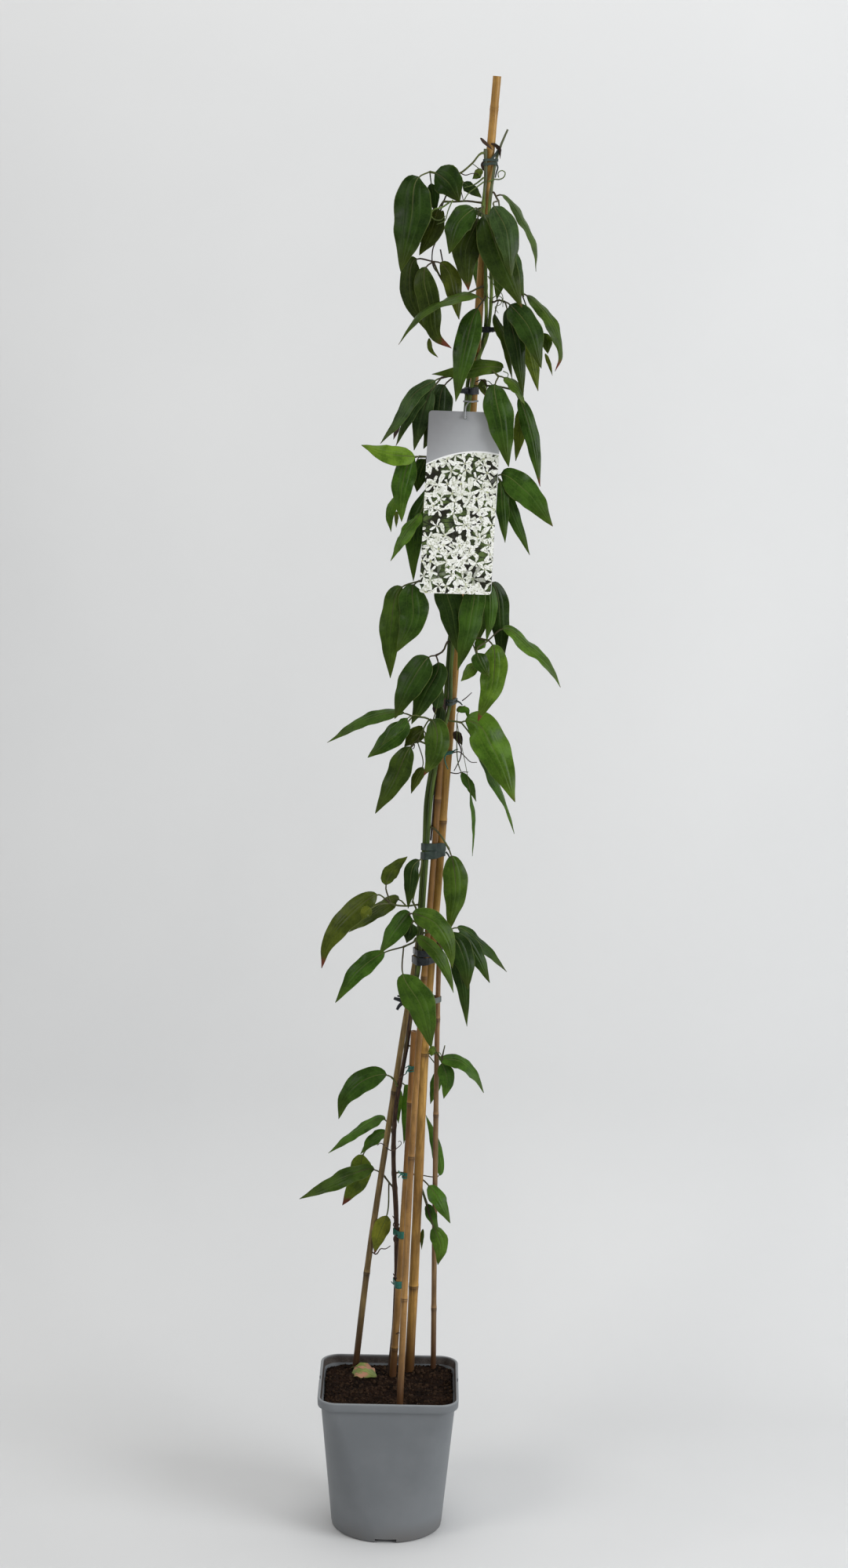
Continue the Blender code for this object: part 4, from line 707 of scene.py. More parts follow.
class Cane:
    """The route of a cane, its thickness and the places of its joints."""

    def __init__(self, points, low, high, joints):
        places = [at(*p) for p in points]
        foot = places[0] - (places[1] - places[0]).normalized() * CANE_DEPTH
        self.route = Route([foot, *places])
        self.low, self.high = low * MM, high * MM
        self.joints = [self.route.height_at(z * MM, seen_height) for z in joints]

    def radius(self, distance):
        return self.low + (self.high - self.low) * distance / self.route.length

    def section(self, z):
        distance = self.route.height_at(z)
        return self.route.read(distance)[0], self.radius(distance)


canes = {key: Cane(*values[:4]) for key, values in CANES.items()}
print("canes of", {key: round(c.route.length, 2) for key, c in canes.items()}, "m")

# %% The ridge at a joint: offset along the cane, extra radius and joint value (mm)
RIDGE = [
    (-14, 0.0, 0.0), (-9, 0.05, -0.15), (-5, 0.15, -0.3), (-2.6, 0.3, -0.55), (-1.4, 0.45, -0.6),
    (-0.6, 0.5, -0.2), (0.1, 0.22, -1.0), (0.5, 0.26, -0.9), (1.3, 0.45, 0.4), (2.4, 0.35, 0.8),
    (4.5, 0.1, 0.4), (9, 0.0, 0.1), (15, 0.0, 0.0),
]


def cane_path(cane, number):
    """Places, radii and joint values along a cane, dense at its joints."""
    marks = {float(d): (0.0, 0.0) for d in np.linspace(0, cane.route.length, int(cane.route.length / 0.02))}
    for joint in cane.joints:
        marks = {d: v for d, v in marks.items() if abs(d - joint) > 16 * MM}
        for offset, swell, near in RIDGE:
            marks[joint + offset * MM] = (swell * MM, near * (1 if joint < 1.45 else 0.1))
    places, radii, near = [], [], []
    for distance in sorted(marks):
        if not 0 <= distance <= cane.route.length:
            continue
        swell, value = marks[distance]
        uneven = 1 + 0.02 * math.sin(distance * 47 + number)
        places.append(cane.route.read(distance)[0])
        radii.append(cane.radius(distance) * uneven + swell)
        near.append(value)
    return places, radii, near


def saw_top(obj, cane, depth=6 * MM):
    """Turns the flat upper end into a thin wall round a hollow."""
    end = cane.route.read(cane.route.length)[0]
    bm = bmesh.new()
    bm.from_mesh(obj.data)
    cap = min((f for f in bm.faces if len(f.verts) > 4), key=lambda f: (f.calc_center_median() - end).length)
    bm.verts.ensure_lookup_table()
    radius = cane.radius(cane.route.length)
    bmesh.ops.inset_region(bm, faces=[cap], thickness=0.12 * radius, depth=0.0)
    bmesh.ops.inset_region(bm, faces=[cap], thickness=0.4 * radius, depth=0.0)
    way = cap.normal.copy()
    bmesh.ops.inset_region(bm, faces=[cap], thickness=0.02 * radius, depth=0.0)
    for v in cap.verts:
        v.co -= way * depth
    bm.to_mesh(obj.data)
    bm.free()
    obj.data.set_sharp_from_angle(angle=math.radians(50))


for number, (cane_name, cane) in enumerate(canes.items()):
    finish = CANES[cane_name][4]
    skin = CANE_SKINS["straw" if cane_name == "cane_front" else finish]
    made = tubes(cane_name + "_bamboo", [cane_path(cane, number)], 24, skin)
    saw_top(made, cane)
    keep(made, "cane_" + finish, cane_name)
print("canes:", PIECES)

# %% [markdown]
# ## The climbing stem
#
# Two shoots grow from one foot. The lower part is thin dark wood, the upper part is green and
# soft and presses against the cane. Where a pair of leaf stalks leaves a shoot there is a
# swollen joint, so the radius rises a little at each of those places.

# %% Shoot routes

SHOOT_ONE = [
    (1, 52, 190, 3.2), (6, 46, 260, 3.1), (7, 40, 330, 3.0), (5, 36, 400, 3.1), (1, 34, 462, 2.8),
    (1, 30, 500, 2.7), (4, 24, 540, 2.7), (9, 18, 570, 2.6), (15, 14, 610, 2.6), (20, 7, 655, 2.7),
    (24.5, 0, 690, 2.8), (26.5, 0, 740, 2.8), (28, 2, 790, 2.9), (31, 3, 850, 2.8), (33, 2, 910, 2.8),
    (39, -6, 950, 2.7), (46, -12, 985, 2.7), (51, -9, 1010, 2.6), (54, -4, 1060, 2.5),
    (57, -4, 1110, 2.5), (61, -5, 1200, 2.4), (66, -5, 1300, 2.3), (70, -4, 1385, 2.2),
    (71, 2, 1399, 2.2), (75, 8, 1413, 2.2), (81, 10, 1427, 2.2), (87, 6, 1443, 2.1),
    (90, -2, 1465, 2.1), (89, -9, 1500, 2.1),
    (87, -13, 1550, 2.0), (84, -14, 1590, 2.0), (86, -14, 1630, 2.0), (85, -13, 1660, 1.8),
]
SHOOT_TWO = [
    (22, 4, 672, 2.4), (27.2, -6.5, 703, 2.4), (29.4, -6, 745, 2.4), (31.5, -4, 790, 2.4),
    (34.5, -5, 850, 2.4), (38, -5, 910, 2.4), (43.5, -10, 950, 2.3), (50, -15, 985, 2.3),
    (57, -12, 1015, 2.3), (58, -9, 1060, 2.3), (61, -10, 1110, 2.3), (65, -10, 1200, 2.2),
    (70, -10, 1300, 2.2), (74.5, -10, 1385, 2.1), (83, -10, 1425, 2.1), (91, -6, 1447, 2.0),
    (95, -5, 1480, 2.0), (94, -11, 1540, 2.0), (91, -16, 1590, 1.9), (94, -15, 1625, 1.8),
    (98, -11, 1650, 1.6), (104, -10, 1668, 1.3), (110, -10, 1682, 1.2),
]
ROOT_DEPTH = 60 * MM


class Shoot:
    """The route of a shoot and its thickness."""

    def __init__(self, points, root=0.0):
        places = [at(*p[:3]) for p in points]
        radii = [p[3] * MM for p in points]
        if root:
            places.insert(0, places[0] - (places[1] - places[0]).normalized() * root)
            radii.insert(0, radii[0])
        self.route, self.radii = Route(places), radii

    def radius(self, distance):
        return float(np.interp(distance, self.route.knots, self.radii))

    def section(self, z):
        distance = self.route.height_at(z)
        return self.route.read(distance)[0], self.radius(distance)

    def nearest(self, place):
        """The closest point of the shoot, its direction, the radius and the distance there."""
        best = None
        for distance in np.linspace(0, self.route.length, 700):
            spot, way = self.route.read(distance)
            if best is None or (spot - place).length < (best[0] - place).length:
                best = spot, way, self.radius(distance), float(distance)
        return best


shoot_one, shoot_two = Shoot(SHOOT_ONE, ROOT_DEPTH), Shoot(SHOOT_TWO)
print("shoots of", round(shoot_one.route.length, 2), "and", round(shoot_two.route.length, 2), "m")

# %% Members that the ties and stalks take hold of
members = {key.removeprefix("cane_"): cane for key, cane in canes.items()}
members |= {"one": shoot_one, "two": shoot_two}
SWELLINGS = {"one": [], "two": []}
print("members:", list(members))

# %% [markdown]
# ## The leaves
#
# The leaves grow in threes on wiry stalks. Each has its own way of hanging, so each is written
# down one by one: the joint of the stalk where it leaves, the other points of its middle line, its
# full width, and how far its face turns away from the front. A sculpted leaf copied a hundred
# times would be quicker, but every copy would hang the same way.
#
# No two leaves have the same age either. Three more numbers say how light a leaf is, from -1 for
# nearly black to 1 for fresh green, how yellow it has turned and how far its tip has dried. The
# lightness is partly the leaf's own green and partly painted shade: leaves that lie in the shade
# of others are set darker.
# Leaves without them are plain. The lowest leaves get painted light: the lower a spray starts, the lighter
# its leaves are coloured.

# %% Every spray: its green, its stalk from the shoot outwards, and its leaves
SPRAYS = {
    "spray_top_left": ("deep", [(85, -13, 1655), (70, -20, 1643), (54, -22, 1631), (40, -23, 1630),
                                (22, -24, 1633)], [
        (4, [(10, -34, 1627), (2, -42, 1580), (-9, -44, 1520)], 44, 8, -0.1, 0, 0),
        (4, [(28, -29, 1632), (42, -35, 1623), (57, -35, 1600)], 36, 5, -0.2, 0, 0),
        (4, [(24, -21, 1620), (27, -20, 1604), (29, -20, 1587)], 15, 20),
        (1, [(80, -18, 1634), (76, -19, 1630), (71, -20, 1626)], 9, 0, 0.3, 0.2, 0),
        (2, [(61, -21, 1622), (72, -21, 1614), (82, -22, 1605)], 15, -30, -0.3, 0, 0),
    ]),
    "spray_top_olive": ("olive", [(85, -14, 1600), (66, -19, 1601), (50, -20, 1600), (38, -22, 1600)], [
        (3, [(33, -24, 1592), (25, -26, 1565), (12, -28, 1539)], 26, 15, -0.3, 0.1, 0),
    ]),
    "spray_top_middle": ("deep", [(86, -14, 1594), (82, -22, 1592), (79, -25, 1590)], [
        (2, [(74, -46, 1593), (57, -52, 1578), (46, -54, 1541)], 30, 15, 0.15, 0, 0),
        (2, [(78, -30, 1582), (65, -36, 1545), (69, -38, 1500)], 34, 6, -0.3, 0.1, 0.7),
        (2, [(85, -40, 1586), (104, -46, 1540), (131, -48, 1482)], 40, -10, -0.1, 0.05, 0.35),
    ]),
    "spray_top_right": ("grey", [(94, -14, 1612), (98, -18, 1607), (101, -22, 1602)], [
        (2, [(96, -56, 1596), (109, -62, 1574), (118, -64, 1516)], 30, -12, -0.1, 0, 0.1),
        (1, [(105, -18, 1609), (114, -19, 1603), (130, -21, 1580), (144, -24, 1553), (146, -26, 1523)],
         20, -62, 0.2, 0.1, 0.3),
        (2, [(108, -26, 1560), (122, -30, 1525), (133, -32, 1494)], 22, -15, 0, 0, 0.1),
    ]),
    "spray_upper_left": ("olive", [(89, -10, 1505), (66, -18, 1497), (48, -20, 1500), (37, -22, 1514),
                                   (28, -24, 1532)], [
        (4, [(20, -33, 1526), (25, -38, 1480), (34, -40, 1446), (51, -41, 1434)], 27, 8, -0.2, 0, 1),
        (4, [(9, -24, 1535), (2, -26, 1495), (23, -28, 1452)], 24, 12, -0.3, 0, 0.2),
        (4, [(36, -26, 1531), (45, -28, 1522), (53, -28, 1498), (59, -29, 1467)], 22, -8, -0.1, 0.2, 0.4),
    ]),
    "spray_upper_front": ("mid", [(90, -9, 1494), (88, -16, 1491), (86, -20, 1489)], [
        (2, [(80, -27, 1480), (66, -38, 1430), (57, -42, 1373)], 29, 8, -0.1, 0, 0.1),
        (2, [(80, -30, 1494), (48, -54, 1490), (9, -56, 1466), (-10, -54, 1437)], 20, 62, -0.1, 0.1, 0.4),
    ]),
    "spray_upper_right": ("deep", [(95, -6, 1488), (104, -14, 1490), (111, -20, 1488)], [
        (2, [(117, -40, 1485), (138, -46, 1462), (155, -48, 1413)], 31, -14, 0, 0, 0.15),
        (2, [(114, -28, 1480), (127, -32, 1430), (135, -34, 1381)], 22, -8, -0.3, 0, 0.1),
        (1, [(100, -18, 1474), (112, -20, 1446), (122, -22, 1399)], 14, -40, 0, 0.1, 0),
    ]),
    "spray_upper_far_right": ("mid", [(94, -10, 1518), (112, -16, 1504), (129, -20, 1499)], [
        (2, [(136, -20, 1496), (154, -24, 1481), (172, -26, 1452), (177, -26, 1425), (171, -25, 1410)],
         22, -50, -0.1, 0.1, 1),
        (2, [(130, -17, 1462), (142, -18, 1430), (152, -20, 1387)], 20, -10, 0.2, 0.4, 0.2),
        (2, [(152, -12, 1452), (160, -14, 1443), (162, -14, 1430)], 16, -10, 0.5, 0.3, 0.1),
    ]),
    "spray_card_right": ("mid", [(81, -11, 1422), (96, -20, 1412), (106, -26, 1403)], [
        (1, [(111, -19, 1413), (95, -23, 1414), (66, -24, 1408), (29, -25, 1404)], 19, 10, 0, 0.15, 0.2),
        (2, [(102, -38, 1394), (110, -50, 1350), (120, -52, 1299)], 33, 0, -0.1, 0, 0.1),
        (2, [(112, -30, 1402), (128, -33, 1390), (137, -32, 1371)], 18, -50, 0.4, 0.2, 0),
    ]),
    "spray_card_far_right": ("mid", [(75, -11, 1392), (100, -14, 1392), (124, -18, 1388)], [
        (2, [(130, -23, 1379), (146, -27, 1335), (157, -28, 1277)], 19, -12, -0.1, 0, 0.8),
        (2, [(133, -14, 1370), (132, -15, 1338), (128, -16, 1306)], 16, -5, 0.3, 0.5, 0.1),
        (1, [(92, -16, 1398), (88, -17, 1394), (91, -18, 1380)], 10, 0, -0.3, 0.3, 1),
    ]),
    "spray_shoulder_left": ("grey", [(70, -6, 1402), (56, -14, 1403), (40, -20, 1400)], [
        (2, [(33, -34, 1397), (10, -40, 1382), (-6, -44, 1355), (-29, -46, 1323)], 19, 30, 0.1, 0, 0.3),
        (2, [(32, -26, 1390), (13, -31, 1373), (1, -33, 1350), (-11, -34, 1321)], 16, 25, 0, 0, 0.2),
        (1, [(44, -17, 1392), (36, -21, 1355), (21, -22, 1318)], 32, 5, -0.3, 0, 0),
        (2, [(29, -30, 1386), (17, -30, 1350), (10, -30, 1316)], 22, 10, -0.2, 0, 0),
    ]),
    "spray_left": ("bright", [(66, -6, 1312), (46, -16, 1312), (26, -20, 1309), (16, -24, 1309)], [
        (3, [(11, -44, 1309), (-18, -52, 1311), (-51, -54, 1321)], 24, 22, 0.6, 0.3, 0.2),
        (3, [(11, -28, 1308), (-3, -36, 1275), (-3, -38, 1233)], 27, 6, -0.1, 0, 0.1),
        (3, [(-8, -23, 1263), (-17, -24, 1240), (-15, -25, 1221)], 12, 10, 0, 0.1, 0),
        (2, [(29, -24, 1274), (13, -27, 1225), (12, -28, 1164)], 25, 0, -0.3, 0, 0),
        (2, [(24, -15, 1306), (18, -14, 1290), (14, -14, 1268)], 22, 0, -0.8, 0, 0),
        (2, [(19, -33, 1244), (3, -40, 1222), (-15, -44, 1187)], 20, 45, 0.3, 0.1, 0.2),
    ]),
    "spray_right_middle": ("mid", [(69, -11, 1288), (88, -18, 1290), (106, -22, 1288)], [
        (2, [(111, -27, 1290), (140, -33, 1272), (173, -38, 1231)], 33, -16, 0.1, 0, 0.3),
        (2, [(110, -30, 1282), (114, -31, 1250), (118, -32, 1211)], 17, 0, -0.1, 0, 0),
        (2, [(112, -18, 1282), (124, -19, 1250), (137, -20, 1220), (147, -20, 1197)], 17, -10, 0, 0, 0.2),
    ]),
    "spray_below_left": ("mid", [(59, -6, 1165), (38, -18, 1166), (18, -24, 1164)], [
        (2, [(13, -32, 1160), (12, -36, 1120), (-6, -38, 1080)], 35, 6, -0.1, 0, 0.1),
        (2, [(-1, -25, 1157), (-13, -28, 1112), (-13, -30, 1049)], 30, 14, 0, 0.1, 0.1),
    ]),
    "spray_below_front": ("mid", [(64, -11, 1182), (64, -20, 1178), (66, -26, 1172)], [
        (2, [(53, -28, 1166), (59, -28, 1125), (67, -26, 1078)], 33, 8, -0.4, 0, 0),
        (2, [(80, -38, 1166), (80, -42, 1120), (66, -40, 1060)], 29, -6, 0, 0, 0.1),
        (2, [(97, -28, 1162), (103, -29, 1128), (99, -30, 1095)], 17, -6, 0.1, 0, 0),
        (2, [(104, -8, 1164), (115, -2, 1115), (117, -2, 1062)], 24, -8, -0.5, 0, 0),
    ]),
    "spray_waist_right": ("bright", [(61, -11, 1102), (80, -18, 1100), (101, -22, 1096)], [
        (2, [(106, -31, 1091), (108, -38, 1052), (91, -42, 1000)], 31, 0, 0.2, 0.2, 0.8),
        (2, [(117, -18, 1110), (149, -14, 1090), (176, -12, 1064), (187, -12, 1042)], 22, -52, 0, 0.1, 0.2),
        (2, [(97, -18, 1096), (92, -18, 1092), (86, -19, 1083)], 14, 0, 0.1, 0.1, 0),
        (2, [(88, -52, 1081), (95, -54, 1066), (103, -56, 1053)], 20, -10, -0.6, 0, 0),
        (1, [(87, -23, 1069), (80, -24, 1059), (70, -24, 1047)], 15, 15, 0.3, 0.3, 0),
    ]),
    "spray_waist_left": ("deep", [(57, -6, 1094), (48, -14, 1082), (40, -20, 1077)], [
        (2, [(32, -36, 1075), (10, -44, 1042), (-7, -47, 1001)], 34, 14, 0.1, 0, 0.1),
        (2, [(43, -23, 1069), (29, -28, 1032), (13, -33, 995)], 30, 10),
    ]),
    "spray_left_arms": ("mid", [(47, -15, 990), (32, -17, 1002), (14, -19, 1004)], [
        (2, [(4, -18, 1008), (-40, -16, 1000), (-86, -18, 971)], 20, 50, 0.2, 0.05, 0.1),
        (2, [(9, -22, 998), (-12, -28, 977), (-38, -32, 954)], 26, 16),
        (1, [(8, -58, 1002), (-6, -62, 988), (-22, -62, 969)], 14, 40, 0.2, 0, 0),
    ]),
    "spray_left_lower": ("deep", [(42, -13, 966), (30, -18, 972), (20, -20, 976)], [
        (1, [(28, -19, 988), (17, -20, 981), (5, -21, 968)], 19, 10, 0.1, 0.3, 0.1),
        (2, [(12, -32, 968), (-5, -38, 930), (-28, -42, 887)], 28, 12, 0.1, 0.1, 0),
        (2, [(27, -18, 944), (20, -18, 930), (14, -18, 912)], 13, 10, 0, 0.3, 0),
        (2, [(37, -33, 1001), (43, -40, 986), (41, -43, 960), (29, -44, 934)], 30, 0, 0.9, 0.1, 0.5),
        (1, [(42, -24, 1014), (45, -24, 1026), (49, -24, 1038)], 15, 20, -0.2, 0, 0),
        (1, [(45, -19, 996), (47, -19, 1008), (48, -19, 1020)], 12, 0, -0.6, 0, 0),
    ]),
    "spray_right_broad": ("bright", [(57, -14, 1000), (66, -18, 999), (71, -20, 998)], [
        (2, [(76, -23, 1000), (88, -30, 998), (111, -38, 965), (137, -44, 904)], 43, -12, 0.1, 0.1, 0.2),
        (2, [(82, -16, 985), (112, -20, 930), (130, -22, 890), (137, -22, 866)], 20, -62, -0.1, 0, 0),
        (1, [(68, -12, 1011), (77, -12, 1013), (79, -12, 1003)], 8, 0),
        (1, [(73, -14, 938), (84, -14, 922), (91, -14, 904)], 12, -25, -0.2, 0, 0.1),
        (1, [(84, -20, 914), (89, -20, 880), (88, -20, 838)], 7, -50, -0.2, 0, 0.1),
    ]),
    "spray_mid_left": ("olive", [(28, 0, 778), (10, -8, 776), (-8, -12, 779), (-14, -14, 784)], [
        (2, [(-14, -13, 801), (-5, -14, 820), (11, -14, 836)], 20, 20, 0.1, 0.15, 0.1),
        (3, [(-24, -34, 789), (-57, -44, 763), (-83, -46, 726), (-89, -45, 698)], 28, 20, 0, 0.2, 0.8),
        (2, [(-31, -54, 772), (-38, -56, 766), (-41, -56, 758)], 14, 0, 0.3, 0.5, 0.1),
        (1, [(2, -3, 784), (-18, 3, 774), (-57, 6, 743)], 22, 45, 0, 0.1, 0),
    ]),
    "spray_mid_back": ("deep", [(27, -1, 764), (22, -8, 774), (18, -11, 782)], [
        (2, [(25, -15, 832), (19, -19, 826), (15, -20, 800), (13, -21, 773)], 18, 5, -0.4, 0, 0),
    ]),
    "spray_mid_front": ("mid", [(30, -6, 752), (20, -16, 758), (14, -20, 760)], [
        (2, [(15, -32, 768), (-2, -38, 746), (-20, -42, 717)], 24, 16),
        (2, [(18, -46, 767), (44, -52, 757), (63, -54, 728), (67, -54, 701)], 27, -18, 0.1, 0.1, 0.2),
        (1, [(18, -19, 755), (16, -20, 745), (12, -20, 731)], 19, 0, -0.6, 0, 0),
    ]),
    "spray_mid_low": ("olive", [(30, -7, 738), (20, -18, 732), (8, -24, 726)], [
        (2, [(-14, -28, 719), (-44, -36, 697), (-72, -40, 656)], 23, 18, 0.1, 0, 0.1),
        (1, [(24, -30, 738), (46, -34, 722), (60, -36, 700), (69, -36, 671)], 18, -30, 0, 0.1, 0.1),
        (2, [(8, -32, 693), (30, -40, 655), (44, -40, 602)], 37, 2, 0.1, 0.05, 0.1),
    ]),
    "spray_wide_tie": ("mid", [(36, -5, 872), (50, -14, 862), (60, -12, 846)], [
        (2, [(63, -11, 838), (69, -13, 800), (62, -14, 746)], 30, -4, 0.1, 0.1, 0),
    ]),
    "spray_band_right": ("deep", [(30, -6, 742), (31, -13, 743), (42, -14, 745), (56, -14, 744)], [
        (3, [(63, -17, 742), (81, -22, 712), (86, -24, 675)], 28, -6, -0.2, 0, 0.1),
        (3, [(64, -9, 728), (79, -11, 684), (86, -12, 630)], 18, -4, -0.3, 0, 0),
        (3, [(73, -8, 744), (95, -8, 718), (112, -8, 684)], 21, -12, 0.1, 0, 0.1),
        (3, [(72, -2, 751), (100, 2, 732), (121, 2, 711), (132, 2, 698)], 18, -50, 0.1, 0, 0.1),
    ]),
    "spray_low_left": ("deep", [(6, 20, 554), (2, 16, 559), (-3, 14, 565)], [
        (2, [(-9, 10, 568), (-38, 4, 560), (-60, 2, 536), (-66, 2, 512)], 28, 20, 0.2, 0, 0.1),
    ]),
    "spray_low_back": ("bright", [(2, 30, 505), (2, 40, 520), (4, 46, 540), (6, 46, 560)], [
        (3, [(5, 49, 553), (4, 50, 533), (6, 50, 508)], 13, 0, 0.1, 0.1, 0),
        (3, [(13, 49, 556), (16, 52, 522), (13, 52, 483)], 15, 0, 0.1, 0, 0),
    ]),
    "spray_low_arms": ("mid", [(0, 34, 478), (0, 44, 490), (-2, 52, 500)], [
        (2, [(-10, 58, 513), (-42, 62, 498), (-78, 64, 469)], 18, 55, 0.1, 0, 0.1),
        (2, [(-8, 53, 498), (-26, 54, 487), (-39, 54, 469)], 18, 45),
        (2, [(-36, 70, 468), (-41, 72, 438), (-52, 72, 417), (-60, 72, 404)], 28, 8, 0.2, 0.5, 1),
    ]),
    "spray_lowest_left": ("deep", [(3, 36, 428), (-4, 46, 434), (-10, 51, 442)], [
        (2, [(-22, 52, 450), (-48, 46, 444), (-80, 44, 428), (-112, 42, 411)], 24, 42, 0.2, 0.1, 0.1),
        (1, [(-6, 42, 392), (-15, 40, 368), (-20, 40, 344)], 21, 5, 0.3, 0.9, 0.7),
    ]),
    "spray_knot_right": ("mid", [(14, 14, 604), (24, 26, 600), (38, 27, 597), (46, 17, 596),
                                 (50, 12, 597)], [
        (4, [(54, 8, 592), (78, 5, 587), (98, 3, 569), (108, 2, 548)], 20, -50, 0, 0, 0.1),
        (4, [(57, 13, 584), (64, 14, 562), (60, 14, 540)], 20, -10, 0.1, 0, 0),
        (2, [(52, 41, 574), (49, 43, 553), (44, 44, 533)], 14, 0),
        (4, [(48, 8, 603), (45, 4, 599), (44, 3, 592)], 9, 0, 0.4, 0.3, 0),
    ]),
    "spray_low_right": ("mid", [(4, 36, 446), (16, 46, 446), (30, 53, 444)], [
        (2, [(44, 34, 431), (54, 25, 418), (71, 20, 384)], 21, -28, 0.2, 0, 0),
        (2, [(57, 59, 444), (55, 61, 466), (48, 61, 494), (39, 60, 519)], 14, 15),
        (2, [(43, 42, 408), (49, 32, 392), (57, 27, 373)], 14, -25, -0.5, 0, 0),
        (2, [(51, 28, 379), (60, 26, 356), (57, 24, 331)], 21, -4, 0.1, 0.1, 0.1),
    ]),
    "spray_back_top": ("deep", [(94, -12, 1562), (99, -6, 1563), (100, 8, 1566), (96, 22, 1568)], [
        (3, [(90, 34, 1566), (82, 58, 1545), (78, 74, 1505)], 30, 150),
        (3, [(100, 32, 1560), (106, 50, 1530), (102, 60, 1490)], 26, 200),
        (3, [(96, 32, 1574), (84, 48, 1588), (72, 62, 1588)], 22, 170),
    ]),
    "spray_back_card": ("mid", [(66, -5, 1310), (60, 0, 1312), (58, 12, 1316), (66, 24, 1320)], [
        (3, [(54, 32, 1316), (44, 48, 1296), (42, 60, 1252)], 30, 165),
        (3, [(79, 32, 1314), (90, 46, 1294), (93, 56, 1250)], 30, 195),
        (3, [(65, 38, 1322), (62, 66, 1321), (58, 92, 1298)], 26, 180),
    ]),
    "spray_back_middle": ("deep", [(63, -10, 1150), (68, -14, 1154), (76, -8, 1158), (76, 8, 1162),
                                   (70, 22, 1164)], [
        (4, [(60, 34, 1168), (46, 50, 1200), (42, 62, 1240)], 28, 180),
        (4, [(80, 32, 1160), (90, 52, 1130), (88, 64, 1090)], 28, 195),
        (4, [(67, 34, 1160), (62, 60, 1130), (60, 78, 1088)], 30, 170),
    ]),
}
# Sprays whose leaves look fresher than the others of their green
FRESH = {"spray_mid_low": "mid"}
print(len(SPRAYS), "sprays with", sum(len(s[2]) for s in SPRAYS.values()), "leaves")

# %% [markdown]
# The blade is a fine grid: narrow columns where the veins run, so that they can sink in above
# and stand out below, and wider ones between. The edges hang lower than the middle and wave a
# little, and the blade is thickest at its middle. Upper side and underside are separate faces
# with their own material, closed round the rim.

# %% The blade's columns and outline
HALF_ROW = [0.035, 0.14, 0.3, 0.39, 0.42, 0.45, 0.6, 0.78, 0.93, 1.0]
ACROSS = np.array([-a for a in reversed(HALF_ROW)] + [0.0] + HALF_ROW)


def outline(t):
    """Half width of a long leaf, 0 to 1, from its foot to its drawn-out tip."""
    return math.sin(math.pi * t**0.68) ** 0.8 * (1 - 0.3 * t**3)


def vein_relief(across):
    """How deep the upper side sinks at the veins, in mm."""
    middle = np.exp(-((across / 0.05) ** 2))
    lateral = np.exp(-(((np.abs(across) - 0.42) / 0.035) ** 2))
    return 0.35 * middle + 0.16 * lateral


print("columns across a blade:", len(ACROSS))

# %% One leaf blade


def start_blades():
    """A mesh in the making, with the map and the state of the leaf material."""
    bm = bmesh.new()
    bm.loops.layers.uv.new("blade")
    bm.verts.layers.float_color.new("leaf_state")
    return bm


def facing(way, roll):
    """The direction that the blade's upper side looks, and the direction across it."""
    front = Vector((0, -1, -0.35 if abs(roll) > 90 else 0))
    front = (front - way * front.dot(way)).normalized()
    tilt = math.radians(roll)
    face = front * math.cos(tilt) + way.cross(front) * math.sin(tilt)
    return face, way.cross(face)


